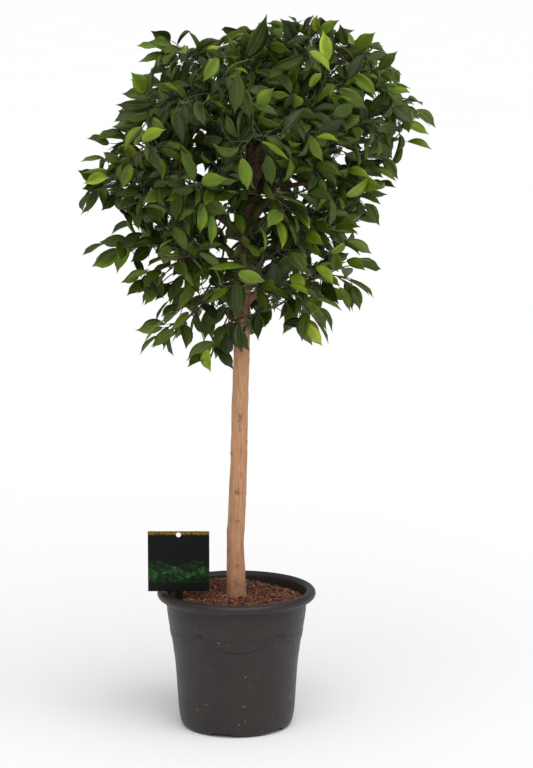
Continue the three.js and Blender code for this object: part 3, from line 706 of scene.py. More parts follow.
RIBBON_WIDTH = 2.0
RIBBON_LENGTH = 10
RIBBON_RELIEF = 0.9
# How dark the ribbons are painted: painted shadow
RIBBON_PAINTED_SHADOW = 0.75
LOBE_PLACE = 4.8
LOBE = (4.4, 3.0)
LOBE_DEPTH = 0.5
GROOVE = 2.5
GROOVE_DROP = 0.8
GROOVE_DEPTH = 0.7
UPPER_GROOVE = 0.45
# Rings round the wall: height and relief, which also sets how dark the painted shadow under each ring is
POT_RINGS = [(125, 0.35), (191.5, 0.3), (201.5, 0.3), (53.5, 0.35)]
RING_WIDTH = 1.8
# How far below each ring its painted shadow line lies, and its width
RING_PAINTED_SHADOW = 1.6
# Heights of the rows of points on the wall, with stretches given by their ends and step
LOW_ROWS = [0, 0.5, 1.2, 2.2, 3.2, 4.4, 5.6, 7, 9, 12]
WALL_ROWS = [
    (16, 51, 5), (51, 57, 0.8), (60, 121, 6), (121.5, 130, 0.9), (132, 144, 2), (144, 177, 0.75),
    (178, 189, 2), (189.5, 204, 0.8),
]
HIGH_ROWS = [206, NECK]
INSIDE_ROWS = (200, 187, 165, 140, 106, 60, 14)
PAD_MIDDLE = 0.5
PAD_EDGE = 0.8
FOOT_ROWS = (3.5, 1, 0.2)
FOOT_ROUNDING = (0.6, 1.5)
# Below the rim's bead: how far in from its middle and how far down
RIM_ROWS = [(6.6, 9), (5.2, 7.2)]
BEAD_TURNS = range(-110, 181, 10)


def pot_radius(height):
    table = np.array(WALL_OUTSIDE, float)
    return smooth_curve(table[:, 0], table[:, 1], height)


def notch_top(azimuth):
    """Height of the foot's lower edge, which rises in an arch at each notch."""
    step = 2 * np.pi / NOTCHES
    off = (azimuth - NOTCH_AZIMUTH * DEGREES + step / 2) % step - step / 2
    share = np.abs(off) * WALL_OUTSIDE[0][1] / (NOTCH_WIDTH / 2)
    return NOTCH_HEIGHT * np.clip(1 - share**4, 0, 1) ** 0.5


def near_line(distance, width):
    """1 on a line, falling to 0 at a width from it."""
    return 1 - smooth_step(0, width, np.abs(distance))


def swag_relief(azimuth, height):
    """How far the swags, their folds and their knots stand out, and how dark the swag lines, knot lobes and
    ribbons are painted, as painted shadow.
    """
    step = 2 * np.pi / SWAGS
    turn = (azimuth - SWAG_KNOT_AZIMUTH * DEGREES) % step
    share = turn / step
    hang = 1 - (2 * share - 1) ** 2
    upper = SWAG_TOP - SWAG_UPPER_SAG * hang
    lower = SWAG_TOP - SWAG_LOWER_SAG * hang
    inside = (smooth_step(-SWAG_LINE, SWAG_EDGES[0], upper - height)
              * smooth_step(-SWAG_LINE, SWAG_EDGES[1], height - lower))
    depth = np.clip((upper - height) / np.maximum(upper - lower, 1), 0, 1)
    cloth = inside * (CLOTH_RISE * depth + CLOTH_BELLY * np.sin(np.pi * depth)
                      + CLOTH_FOLD * np.sin(CLOTH_FOLDS * np.pi * depth))
    upper_line = hang**2 * near_line(height - upper, GROOVE)
    hems = HEM * near_line(height - lower, HEM_WIDTH) - UPPER_HEM * upper_line
    across = np.minimum(turn, step - turn) * pot_radius(SWAG_TOP)
    drop = SWAG_TOP - height
    knot = near_line(np.hypot(across / KNOT[0], drop / KNOT[1]), 1.0)
    ribbons = 0
    for slant in RIBBON_SLANTS:
        along = (drop + slant * across) / (1 + slant * slant)
        off = np.hypot(across - slant * along, drop - along)
        shown = (along > 0) * (along < RIBBON_LENGTH / (1 + slant))
        ribbons = np.maximum(ribbons, near_line(off, RIBBON_WIDTH) * shown)
    fade = smooth_step(0, SWAG_FADE, share) * smooth_step(0, SWAG_FADE, 1 - share)
    knots = np.maximum(KNOT_RELIEF * knot, RIBBON_RELIEF * ribbons)
    relief = SWAG_RELIEF * (fade * (cloth + hems) + knots)
    # The swag lines are dented and painted dark: painted shadow
    groove = fade * np.maximum(near_line(height - lower + GROOVE_DROP, GROOVE), UPPER_GROOVE * upper_line)
    lobes = near_line(np.hypot((across - LOBE_PLACE) / LOBE[0], drop / LOBE[1]), 1.0)
    # Painted shadow on the swag lines, the knots' lobes and the ribbons
    shade = np.maximum(groove, np.maximum(lobes, RIBBON_PAINTED_SHADOW * ribbons))
    return relief - GROOVE_DEPTH * groove - LOBE_DEPTH * lobes, shade


def pot_rows():
    """Rows of the pot's skin from the middle of its underside round to the edge of its floor: where each
    lies as radius and height, and which stretch it belongs to."""
    rows = [("under", PAD_MIDDLE, 0), ("under", PAD_RADIUS - 1, 0), ("under", PAD_RADIUS, PAD_EDGE)]
    rows += [("under", PAD_RADIUS, FOOT_HEIGHT), ("under", FOOT_INNER_RADIUS, FOOT_HEIGHT)]
    rows += [("foot", FOOT_INNER_RADIUS, height) for height in FOOT_ROWS]
    inner, outer = FOOT_INNER_RADIUS + FOOT_ROUNDING[0], WALL_OUTSIDE[0][1] - FOOT_ROUNDING[1]
    rows += [("foot", radius, 0) for radius in (inner, outer)]
    heights = np.concatenate([LOW_ROWS, *(np.arange(*stretch) for stretch in WALL_ROWS), HIGH_ROWS])
    rows += [("wall", pot_radius(height), height) for height in heights]
    bead = RIM_TOP - BEAD_RADIUS
    middle = RIM_RADIUS - BEAD_RADIUS
    rows += [("rim", middle - inwards, bead - down) for inwards, down in RIM_ROWS]
    for angle in BEAD_TURNS:
        turn = angle * DEGREES
        rows.append(("rim", middle + BEAD_RADIUS * math.cos(turn), bead + BEAD_RADIUS * math.sin(turn)))
    rows += [("inside", pot_radius(height) - WALL, height) for height in INSIDE_ROWS]
    rows += [("inside", floor_radius(), POT_FLOOR)]
    return rows


def floor_radius():
    return float(pot_radius(POT_FLOOR)) - WALL - POT_FLOOR_EDGE


def circle(radius, sides, x=0.0, y=0.0):
    turns = 2 * np.pi * np.arange(sides) / sides
    return np.stack([x + radius * np.cos(turns), y + radius * np.sin(turns)], axis=-1)


def filled(outlines, **settings):
    """A flat mesh in the outer outline, with the others as holes. The settings may give it thickness."""
    curve = bpy.data.curves.new("outline", "CURVE")
    curve.dimensions = "2D"
    curve.fill_mode = "BOTH"
    for name, value in settings.items():
        setattr(curve, name, value)
    for outline in outlines:
        spline = curve.splines.new("POLY")
        spline.points.add(len(outline) - 1)
        spline.use_cyclic_u = True
        for spot, (x, y) in zip(spline.points, outline):
            spot.co = (x * MM, y * MM, 0, 1)
    drawn = bpy.data.objects.new("outline", curve)
    mesh = bpy.data.meshes.new_from_object(drawn)
    bpy.data.objects.remove(drawn)
    return mesh


def points_of(mesh):
    flat = np.zeros(len(mesh.vertices) * 3)
    mesh.vertices.foreach_get("co", flat)
    return flat.reshape(-1, 3) / MM


def add_drained_floor(skin):
    """The pot's floor from below and from above, with its drain holes."""
    drains = []
    for k in range(DRAIN_HOLES):
        angle = NOTCH_AZIMUTH * DEGREES + 2 * math.pi * k / DRAIN_HOLES
        x, y = DRAIN_CIRCLE * math.cos(angle), DRAIN_CIRCLE * math.sin(angle)
        drains.append(circle(DRAIN_RADIUS, DRAIN_SIDES, x, y))
    below = [circle(FOOT_INNER_RADIUS, POT_SIDES), circle(PAD_RADIUS, POT_SIDES), *drains]
    above = [circle(floor_radius(), POT_SIDES), *drains]
    for outlines, height in ((below, FOOT_HEIGHT), (above, POT_FLOOR)):
        plate = filled(outlines)
        points = points_of(plate)
        points[:, 2] = height
        corners = np.array([polygon.vertices[:] for polygon in plate.polygons])
        skin.add(points, corners, groove=0.0)
    for drain in drains:
        rings = [np.column_stack([drain, np.full(DRAIN_SIDES, height)])
                 for height in (FOOT_HEIGHT, POT_FLOOR)]
        skin.add(np.concatenate(rings), grid_faces(2, DRAIN_SIDES, closed=True), groove=0.0)


def weld(mesh):
    """Joins points at one place, turns all faces outwards and keeps sharp edges sharp."""
    work = bmesh.new()
    work.from_mesh(mesh)
    bmesh.ops.remove_doubles(work, verts=work.verts, dist=WELD)
    bmesh.ops.recalc_face_normals(work, faces=work.faces)
    work.to_mesh(mesh)
    work.free()
    mesh.set_sharp_from_angle(angle=SHARP_ANGLE * DEGREES)


def make_pot(material):
    rows = pot_rows()
    azimuth = 2 * np.pi * np.arange(POT_SIDES) / POT_SIDES
    arch = notch_top(azimuth)
    points, painted_groove_shadows = [], []
    for kind, radius, height in rows:
        # Each row's painted shadow, from the swags and from the lines under the rings
        groove = np.zeros(POT_SIDES)
        radii = np.full(POT_SIDES, float(radius))
        heights = np.full(POT_SIDES, float(height))
        if kind == "wall":
            relief, groove = swag_relief(azimuth, height)
            for ring, depth in POT_RINGS:
                relief = relief + depth * near_line(height - ring, RING_WIDTH)
                # A painted shadow line just under each ring
                groove = np.maximum(groove, depth * near_line(height - ring + RING_PAINTED_SHADOW, RING_PAINTED_SHADOW))
            radii = radii + relief
        if kind in ("foot", "wall") and height < NOTCH_HEIGHT:
            heights = np.maximum(heights, arch)
        if kind == "wall" and height < NOTCH_HEIGHT:
            radii = np.maximum(radii, pot_radius(heights))
        points.append(np.stack([radii * np.cos(azimuth), radii * np.sin(azimuth), heights], axis=-1))
        painted_groove_shadows.append(groove)
    points = np.concatenate([*points, [[0, 0, 0]]])
    faces = grid_faces(len(rows), POT_SIDES, closed=True)
    plate = rows.index(("under", FOOT_INNER_RADIUS, FOOT_HEIGHT)) - 1
    faces = np.delete(faces, np.arange(plate * POT_SIDES, (plate + 1) * POT_SIDES), axis=0)
    around = np.arange(POT_SIDES)
    fan = np.stack([(around + 1) % POT_SIDES, around, np.full(POT_SIDES, len(points) - 1)], axis=-1)
    skin = Skin("groove")
    skin.add(points, faces, fan, groove=np.concatenate([*painted_groove_shadows, [0]]))
    add_drained_floor(skin)
    pot = skin.build("pot_moulded", [material])
    weld(pot.data)
    place(pot, "pot", "pot")


# Soil

SOIL_TOP = 211
SOIL_MOUND = 4
SOIL_ROUGHNESS = 0.6
SOIL_RADIUS = 111
SOIL_WAVES = [(5, 9), (3, -14)]
SOIL_GAP = 0.3
SOIL_LEVELS = (60, 106, 160, 200)
SOIL_RINGS = 56
SOIL_SIDES = 150
SOIL_EDGE = 0.6
SOIL_MIDDLE = 0.8
SOIL_RIM = 7
SOIL_RIM_RISE = 1.32
SOIL_TINT = 0.12
SOIL_TINT_SWING = 0.22
SOIL_TINT_SPAN = 5
# The heap towards the back left of the pot, and the dip towards its back right: height, x, y, and widths
HEAPS = [(7.5, -38, 85, 75, 55), (-4.5, 70, 60, 45, 60)]
# Small hills of the surface: height, width, and the level at which their noise is read
LUMPS = [(2.6, 10, 3.3), (1.0, 3.5, 8.1)]
# What is strewn over the soil: number, lengths, widths and depths as shares of the length, and tints
STREWN = {
    "bark chips": (3000, (2.6, 6.5), (0.32, 0.75), (0.18, 0.4), (0.2, 0.8)),
    "crumbs": (2600, (1.0, 2.4), (0.5, 1.0), (0.4, 0.9), (0.05, 0.85)),
    "coir fibres": (700, (5, 15), (0.05, 0.09), (0.05, 0.08), (0.6, 0.92)),
    "perlite": (190, (0.9, 2.2), (0.7, 1.0), (0.6, 1.0), (0.95, 1.0)),
    "bits of pale root": (80, (3, 7), (0.1, 0.17), (0.08, 0.12), (0.91, 0.99)),
}
STREWN_SEED = 17
STREWN_EDGE = 2.5
STREWN_GAP = 0.5
BARE_MIDDLE = 15
CORNER_SHARES = (0.55, 1.2)
TILT = 0.3
ROLL = 0.4
LIFT = 0.9
BOX_CORNERS = np.array([(x, y, z) for x in (-1, 1) for y in (-1, 1) for z in (-1, 1)], float)
BOX_FACES = np.array([(0, 1, 3, 2), (4, 6, 7, 5), (0, 4, 5, 1), (2, 3, 7, 6), (0, 2, 6, 4), (1, 5, 7, 3)])


def soil_height(radius, angle):
    mound = SOIL_MOUND * (1 - radius / SOIL_RADIUS)
    rough = sum(np.sin(turns * angle + radius / length) for turns, length in SOIL_WAVES)
    return SOIL_TOP + mound + SOIL_ROUGHNESS * rough


def lumps(x, y):
    """The heap, the dip and the small hills of the soil's surface."""
    wide = sum(height * math.exp(-((x - heap_x) / width) ** 2 - ((y - heap_y) / depth) ** 2)
               for height, heap_x, heap_y, width, depth in HEAPS)
    return wide + sum(height * noise.noise(Vector((x / width, y / width, level)))
                      for height, width, level in LUMPS)


def on_soil(radius, angle):
    """A place on the soil's surface."""
    x, y = radius * math.cos(angle), radius * math.sin(angle)
    return x, y, soil_height(radius, angle) + lumps(x, y)


def make_soil(material):
    levels = [POT_FLOOR + SOIL_GAP, *SOIL_LEVELS]
    angles = 2 * np.pi * np.arange(SOIL_SIDES) / SOIL_SIDES
    rows = [np.column_stack([circle(float(pot_radius(level)) - WALL - SOIL_GAP, SOIL_SIDES),
                             np.full(SOIL_SIDES, level)]) for level in levels]
    for ring in range(SOIL_RINGS):
        radius = (SOIL_RADIUS - SOIL_EDGE) * (1 - ring / SOIL_RINGS) + SOIL_MIDDLE
        rise = SOIL_RIM_RISE * smooth_step(SOIL_RADIUS - SOIL_RIM, SOIL_RADIUS, radius)
        rows.append(np.array([on_soil(radius, angle) for angle in angles]) + rise * UP)
    points = np.concatenate(rows + [[[0, 0, levels[0]]], [[0, 0, SOIL_TOP + SOIL_MOUND]]])
    swing = np.array([noise.noise(Vector(point) / SOIL_TINT_SPAN) for point in points])
    skin = Skin("tint")
    size = len(rows), SOIL_SIDES
    tint = SOIL_TINT + SOIL_TINT_SWING * swing
    skin.add(points, grid_faces(*size, closed=True), end_caps(*size), tint=tint)
    strew(skin)
    soil = skin.build("soil_bark_mix", [material], smooth=False)
    place(soil, "soil", "soil")


def strew(skin):
    """Strews small pieces over the soil, each kind by its count."""
    rng = np.random.default_rng(STREWN_SEED)
    for count, lengths, widths, depths, tints in STREWN.values():
        for _ in range(count):
            radius = (SOIL_RADIUS - STREWN_EDGE) * math.sqrt(rng.uniform())
            angle = rng.uniform(0, 2 * math.pi)
            if radius < BARE_MIDDLE:
                continue
            length = rng.uniform(*lengths)
            half = np.array([length, length * rng.uniform(*widths), length * rng.uniform(*depths)]) / 2
            corners = BOX_CORNERS * half * rng.uniform(*CORNER_SHARES, (8, 3))
            spin = rotation(rng.uniform(0, 2 * math.pi), rng.normal(0, TILT), rng.normal(0, ROLL))
            lift = rng.uniform(0.0, LIFT) + half[2] / 2
            points = corners @ spin.T + on_soil(radius, angle) + lift * UP
            reach = np.hypot(points[:, 0], points[:, 1]).max()
            if reach <= pot_radius(SOIL_TOP) - WALL - STREWN_GAP:
                skin.add(points, BOX_FACES, tint=rng.uniform(*tints))


def rotation(turn, tilt, roll):
    """A matrix that rolls about X, tilts about Y and then turns about Z."""
    ct, st, cy, sy, cr, sr = *cos_sin(turn), *cos_sin(tilt), *cos_sin(roll)
    about_z = np.array([[ct, -st, 0], [st, ct, 0], [0, 0, 1]])
    about_y = np.array([[cy, 0, sy], [0, 1, 0], [-sy, 0, cy]])
    about_x = np.array([[1, 0, 0], [0, cr, -sr], [0, sr, cr]])
    return about_z @ about_y @ about_x


def cos_sin(angle):
    return math.cos(angle), math.sin(angle)


# Wood

TRUNK_SIDES = 12
# Height, x and radius of the trunk
TRUNK = [
    [140, 1, 15], [206, 0.7, 17], [232, 0, 15.6], [300, -1.5, 14.4], [375, 1.7, 14.2], [457, 4.5, 13.6],
    [540, 6.3, 13.2], [606, 8.8, 13], [704, 11.4, 12.5], [800, 18, 10.5], [880, 26, 8], [960, 37, 5.5],
    [1035, 44, 3.4],
]
LIMBS = 10
LIMB_SIDES = 5
LIMB_PIECES = 4
LIMB_FOOT = 700
LIMB_STEP = 25
LIMB_RISE = 28
LIMB_RISE_STEP = 9
LIMB_AZIMUTH = -8
GOLDEN_ANGLE = 137.508
LIMB_REACH = 0.56
LIMB_ARCH = 0.12
LIMB_RADIUS = 6.6
LIMB_END_RADIUS = 3
TWIG_GAP = 0.62
# Height, middle and radius of the head
HEAD = [
    [605, -20, 40], [640, -5, 110], [700, 8, 165], [760, 5, 195], [830, 15, 215], [900, 15, 228],
    [960, 30, 236], [1020, 38, 228], [1080, 46, 202], [1120, 40, 170], [1152, 45, 90],
]
# Scars of shed twigs on the trunk: height, degrees to the right of the front, half of the height and of the
# width, and strength
SCARS = [
    (625, -2, 8, 5, 0.5), (516, 4, 5, 3, 0.9), (508, 2, 2.5, 3, 0.8), (494, 3, 2.2, 3.4, 0.8),
    (471, 64, 3, 3, 0.8), (452, -58, 3, 3, 0.7), (419, 18, 7, 3, 0.55), (391, -4, 4, 5, 1),
    (343, 8, 2, 5, 1), (293, -58, 3, 3, 0.6), (268, 8, 3, 3.5, 0.9), (236, 0, 9, 8, 0.6),
    (560, 40, 4, 3, 0.5), (600, 150, 8, 5, 0.9), (540, 110, 6, 4, 0.8), (430, 170, 8, 5, 1),
    (380, 120, 5, 4, 0.8), (320, -140, 7, 5, 0.9), (260, 160, 6, 5, 0.7),
]
SCAR_REACH = 2.5
# How ragged a scar's edge is, and over what length
SCAR_RAGS = (1.1, 2.6)
SCAR_RELIEF = 0.7
# The sides of a skin round the wood, and how far apart its rings are
TRUNK_SKIN = (48, 3.2)
LIMB_SKIN = (16, 3.5)
LEAST_RINGS = 8
FLARE = 0.55
FLARE_START = 8
FLARE_LENGTH = 9
WOBBLE = 1.6
WOBBLE_SPAN = 23
# Streaks along the wood and lumps on it: how long they are, and how high as shares of the radius
STREAKS_ROUND = 3.2
STREAK_LENGTH = 90
STREAK_RELIEF_SHARE = 0.035
LUMP_SPAN = 26
LUMP_RELIEF_SHARE = 0.05


def trunk_run():
    return [(np.array([x, 0, z], float), radius) for z, x, radius in TRUNK]


def limb_run(index):
    azimuth = (LIMB_AZIMUTH + GOLDEN_ANGLE * index) * DEGREES
    foot = LIMB_FOOT + LIMB_STEP * index
    start = np.array([at_height(TRUNK, foot)[0], 0, foot], float)
    end_height = foot + LIMB_RISE + LIMB_RISE_STEP * index
    middle, radius = at_height(HEAD, end_height)
    reach = LIMB_REACH * radius
    end = np.array([middle + reach * math.cos(azimuth), reach * math.sin(azimuth), end_height])
    arch = LIMB_ARCH * np.linalg.norm(end - start)
    run = []
    for k in range(LIMB_PIECES + 1):
        share = k / LIMB_PIECES
        point = start + (end - start) * share + UP * 4 * arch * share * (1 - share)
        run.append((point, mix(LIMB_RADIUS, LIMB_END_RADIUS, share)))
    return run


WOOD_RUNS = [trunk_run()] + [limb_run(index) for index in range(LIMBS)]


def on_run(run, share):
    """A place on a run, with its radius and the run's direction there."""
    spot = share * (len(run) - 1)
    k = min(math.floor(spot), len(run) - 2)
    (start, start_radius), (end, end_radius) = run[k], run[k + 1]
    return mix(start, end, spot - k), mix(start_radius, end_radius, spot - k), unit(end - start)


def nearest_flat(index, wanted, along, radius):
    """The flat of a faceted limb that looks most in a direction, and how far from the middle it is."""
    normal = square_to(UP if index else FRONT, along)
    side = cross(normal, along)
    piece = 2 * math.pi / (LIMB_SIDES if index else TRUNK_SIDES)
    turn = math.atan2(wanted.dot(normal), wanted.dot(side))
    middle = (math.floor(turn / piece) + 0.5) * piece
    return side * math.cos(middle) + normal * math.sin(middle), radius * math.cos(piece / 2)


def scar_at(point, outwards, radius):
    """How much of a scar a place on the trunk has, and how far its ridge and its pit shift the bark there."""
    marked, shift = 0.0, 0.0
    turn = math.degrees(math.atan2(outwards[0], -outwards[1]))
    for height, angle, half_height, half_width, strength in SCARS:
        if abs(point[2] - height) > SCAR_REACH * half_height:
            continue
        off = radius * ((turn - angle + 180) % 360 - 180) * DEGREES
        ragged = 1 + SCAR_RAGS[0] * noise.noise(Vector(point / SCAR_RAGS[1]))
        apart = math.hypot((point[2] - height) / half_height, off / half_width) * ragged
        marked = max(marked, strength * math.exp(-apart * apart))
        shift += SCAR_RELIEF * (math.exp(-((apart - 1) * 2) ** 2) - math.exp(-((apart * 2) ** 2)))
    return marked, shift


def add_run(skin, run, sides, step, trunk):
    """A limb's skin along smooth curves through its stations, with scars on the trunk."""
    lengths = np.cumsum([0] + [np.linalg.norm(b[0] - a[0]) for a, b in zip(run, run[1:])])
    stations = np.array([point for point, _ in run])
    radii = np.array([radius for _, radius in run])
    marks = np.linspace(0, lengths[-1], max(int(lengths[-1] / step), LEAST_RINGS))
    places = np.stack([smooth_curve(lengths, stations[:, k], marks) for k in range(3)], axis=-1)
    sizes = smooth_curve(lengths, radii, marks)
    if not trunk:
        sizes = sizes * (1 + FLARE * np.exp(-np.maximum(marks - FLARE_START, 0) / FLARE_LENGTH))
        places[1:-1] += [[WOBBLE * noise.noise(Vector(place / WOBBLE_SPAN + k)) for k in range(3)]
                         for place in places[1:-1]]
    points, *faces = tube(places, sizes, sides, FRONT if trunk else UP)
    scar = np.zeros(len(points))
    for index in range(len(marks) * sides):
        row = index // sides
        point = points[index]
        outwards = (point - places[row]) / sizes[row]
        round_it = outwards[:2] * STREAKS_ROUND
        streak = noise.noise(Vector((*round_it, point[2] / STREAK_LENGTH)))
        lump = noise.noise(Vector(point / LUMP_SPAN))
        shift = sizes[row] * (STREAK_RELIEF_SHARE * streak + LUMP_RELIEF_SHARE * lump)
        if trunk:
            scar[index], more = scar_at(point, outwards, sizes[row])
            shift += more
        points[index] = point + outwards * shift
    skin.add(points, *faces, scar=scar)


def make_wood(material):
    skin = Skin("scar")
    for index, run in enumerate(WOOD_RUNS):
        add_run(skin, run, *(LIMB_SKIN if index else TRUNK_SKIN), trunk=not index)
    wood = skin.build("wood_trunk_and_limbs", [material])
    place(wood, "bark", "wood")


# Plan of the shoots, as in the part's source: balls stand for what is already placed

# Tips of the shoots at the head's outline: x, y, z and direction in degrees
OUTLINE_TIPS = [
    [-150, 0, 1116, 170], [-74, 30, 1142, 110], [-9, -40, 1138, 100], [56, 10, 1156, 100],
    [120, -30, 1159, 85], [161, 30, 1150, 65], [215, -20, 1131, 45], [254, 20, 1101, 15],
    [274, -40, 1041, -5], [321, 0, 986, -25], [263, -50, 901, -20], [234, 20, 829, -10],
    [226, 0, 715, -25], [190, -45, 686, -60], [139, 0, 630, -57], [-75, -35, 605, -135],
    [-165, 20, 657, 185], [-139, -70, 635, 215], [-118, 60, 700, 200], [-185, -40, 740, 195],
    [-234, 0, 765, 205], [-251, 40, 840, 235], [-249, -20, 913, 175], [-224, 50, 976, 160],
    [-192, -10, 1015, 180], [-166, 40, 1057, 165],
]
# Shoots of the head's front and back: side, number and first turn
FACES = [(-1, 12, 20), (1, 11, 64)]
FACE_SPREAD = 0.86
FACE_DEPTH = 1.06
FACE_RISE = (-0.4, 0.8)
HEAD_MIDDLE = 880
HEAD_HALF = 262
LEAN_REACH = 400
# Twigs, with their radii at the start and the end, and angles in degrees
TWIG_RADII = (1.9, 1.2)
STRAIGHT_ENDS = (0.3, 0.35)
SIDE_TWIG_RADII = (1.3, 0.9)
SIDE_TWIG_LENGTH = (50, 72)
SIDE_TWIG_TURN = (-30, 25)
SIDE_TWIG_SPREAD = (42, 62)
SIDE_TWIG_BEND = 0.3
FORKS = (0.36, 0.56, 0.76)
NEAR_END = 0.9
SIDE_NEAR_END = 0.72
WANTED_TWIG = 140
BEND_COST = 40
# Where twigs may start on a limb and on the trunk: the first share of its length, and the step
LIMB_STARTS = (0.25, 0.125)
TRUNK_STARTS = (0.6875, 0.03125)
# Leaves, with angles in degrees, and shares of the leaf's length
LEAF_LENGTH = 50
LEAF_LENGTHS = (0.82, 1.12)
LEAF_SHAPE = 0.44
PETIOLE = 8
FIRST_STATION = 0.2
LEAF_SPREAD = (40, 66)
LEAF_ROLL = (-60, 60)
LEAF_BEND = (0.04, 0.2)
LEAF_DROOP = (1.1, 0.3)
DROOP_SHARE = (0.1, 1)
LEAF_OUTWARDS = 2.5
LEAF_FOLD = 0.16
LEAF_KEEL = 0.35
# Balls along the wood and the twigs, and in the leaves
BALL_STEP = 6
BALLS_AT_START = 2
TWIG_RADIUS = 1.8
TWIG_SPARE = 2
LEAF_SPARE = 0.8
PETIOLE_BALL = 1.6
TIP_BALL = 2.5
TIP_BALL_PLACE = 0.97
BLADE_BALLS = (0.14, 0.36, 0.58, 0.8)
BLADE_BALL_SPARE = 1.4
TRIES = 8
CELL = 20
# Smaller balls, with which further twigs and leaves are tested
THIN_SHARES = (0.04, 0.16, 0.3, 0.44, 0.58, 0.72, 0.86, 0.97)
THIN_ACROSS = 0.62
THIN_BALL = 2.3
THIN_TWIG = 1.5
STALK_BALL = 0.8
STALK_BALL_PLACE = 0.6
LEAST_LEVEL = 0.2
FULLEST_PLACE = 0.9
FULLNESS = 0.8
NARROWING = 0.25
FIRST_ROOM = 1024


class Balls:
    """Balls that stand for what is already placed, kept by the cell of space that they lie in."""

    def __init__(self):
        self.points = np.zeros((FIRST_ROOM, 3))
        self.radii = np.zeros(FIRST_ROOM)
        self.count = 0
        self.cells = {}
        self.largest = 0.0

    def add(self, points, radii):
        points = np.asarray(points)
        end = self.count + len(points)
        if end > len(self.radii):
            self.points = np.vstack([self.points, np.zeros_like(self.points)])
            self.radii = np.concatenate([self.radii, np.zeros_like(self.radii)])
        self.points[self.count:end] = points
        self.radii[self.count:end] = radii
        self.largest = max(self.largest, np.max(radii))
        for number, cell in enumerate(np.floor(points / CELL).astype(int).tolist()):
            self.cells.setdefault(tuple(cell), []).append(self.count + number)
        self.count = end

    def near(self, points, reach):
        """The balls in all cells that lie within a reach of some points."""
        low = np.floor((points.min(axis=0) - reach) / CELL).astype(int).tolist()
        high = np.floor((points.max(axis=0) + reach) / CELL).astype(int).tolist()
        found = []
        for x in range(low[0], high[0] + 1):
            for y in range(low[1], high[1] + 1):
                for z in range(low[2], high[2] + 1):
                    found += self.cells.get((x, y, z), ())
        return found

    def clear_of(self, points, radii, spare):
        points = np.asarray(points)
        radii = np.broadcast_to(radii, len(points))
        near = self.near(points, self.largest + radii.max() + spare)
        apart = ((points[:, None] - self.points[near][None]) ** 2).sum(axis=2)
        least = radii[:, None] + self.radii[near][None] + spare
        return bool((apart >= least * least).all())


class Twig:
    """A smooth arched twig between two places, with its directions there."""

    def __init__(self, start, start_direction, end, end_direction):
        self.length = np.linalg.norm(end - start)
        chord = (end - start) / self.length
        level = cross(UP, chord)
        flat = np.linalg.norm(level)
        self.sideways = level / flat if flat > LEAST_LEVEL else np.array([1.0, 0, 0])
        self.a, self.d = start, end
        self.b = start + start_direction * STRAIGHT_ENDS[0] * self.length
        self.c = end - end_direction * STRAIGHT_ENDS[1] * self.length
        self.leaves = []
        self.sides = []
        self.planned = False

    def point(self, share):
        rest = 1 - share
        return (self.a * rest**3 + self.b * 3 * rest * rest * share
                + self.c * 3 * rest * share * share + self.d * share**3)

    def at(self, share):
        """The place at a share, with the twig's direction, its left side and its upper side there."""
        rest = 1 - share
        along = unit((self.b - self.a) * rest * rest + (self.c - self.b) * 2 * rest * share
                     + (self.d - self.c) * share * share)
        side = square_to(self.sideways, along)
        return self.point(share), along, side, cross(along, side)

    def balls(self):
        steps = math.ceil(self.length / BALL_STEP)
        return [self.point(k / steps) for k in range(steps + 1)], TWIG_RADIUS


class Leaf:
    """A leaf with its stalk's root, its directions and its sizes."""

    def __init__(self, root, along, normal, length, bend, width=None):
        self.root, self.along, self.normal = root, along, normal
        self.side = cross(normal, along)
        self.length, self.bend = length, bend
        self.width = length * LEAF_SHAPE if width is None else width
        self.tint = None

    def point(self, share):
        return (self.root + self.along * (PETIOLE + self.length * share)
                - self.normal * self.bend * self.length * share * share)

    def balls(self):
        points = [self.point(0), self.point(TIP_BALL_PLACE)]
        radii = [PETIOLE_BALL, TIP_BALL]
        for share in BLADE_BALLS:
            half = leaf_half_width(share) * self.width
            for hand in (-0.5, 0.5):
                points.append(self.point(share) + self.side * hand * half)
                radii.append(0.5 * half + BLADE_BALL_SPARE)
        return np.array(points), np.array(radii)

    def thin_balls(self):
        """Smaller balls, which let leaves lie closer together."""
        points = [self.root + self.along * PETIOLE * STALK_BALL_PLACE]
        radii = [STALK_BALL]
        for share in THIN_SHARES:
            half = leaf_half_width(share) * self.width
            for across in (-THIN_ACROSS, 0, THIN_ACROSS):
                points.append(self.point(share) + self.side * across * half)
                radii.append(THIN_BALL)
        return np.array(points), np.array(radii)

    def first_ring(self):
        middle = self.point(FIRST_STATION)
        half = leaf_half_width(FIRST_STATION) * self.width
        edge = middle + self.normal * LEAF_FOLD * half
        return [edge + self.side * half, edge - self.side * half, middle - self.normal * LEAF_KEEL]


def leaf_half_width(share):
    """Half of a leaf's width at a share of its length, as a share of its full width."""
    return 0.5 * np.sin(np.pi * share**FULLEST_PLACE) ** FULLNESS * (1 - NARROWING * share**4)


def shoot_tips():
    tips = []
    for x, y, z, angle in OUTLINE_TIPS:
        tip = np.array([x, y, z], float)
        direction = np.array([math.cos(angle * DEGREES), y / LEAN_REACH, math.sin(angle * DEGREES)])
        tips.append((tip, unit(direction)))
    for side, shoots, turn in FACES:
        for k in range(shoots):
            polar = math.acos(1 - (k + 0.5) / shoots * FACE_SPREAD)
            azimuth = (GOLDEN_ANGLE * k + turn) * DEGREES
            rise = math.sin(polar) * math.sin(azimuth)
            across = math.sin(polar) * math.cos(azimuth)
            height = HEAD_MIDDLE + HEAD_HALF * rise
            middle, radius = at_height(HEAD, height)
            outwards = unit(np.array([across, side * math.cos(polar), 0]))
            tip = np.array([middle, 0, height]) + outwards * FACE_DEPTH * radius
            tips.append((tip, unit(outwards + UP * mix(*FACE_RISE, (rise + 1) / 2))))
    return tips


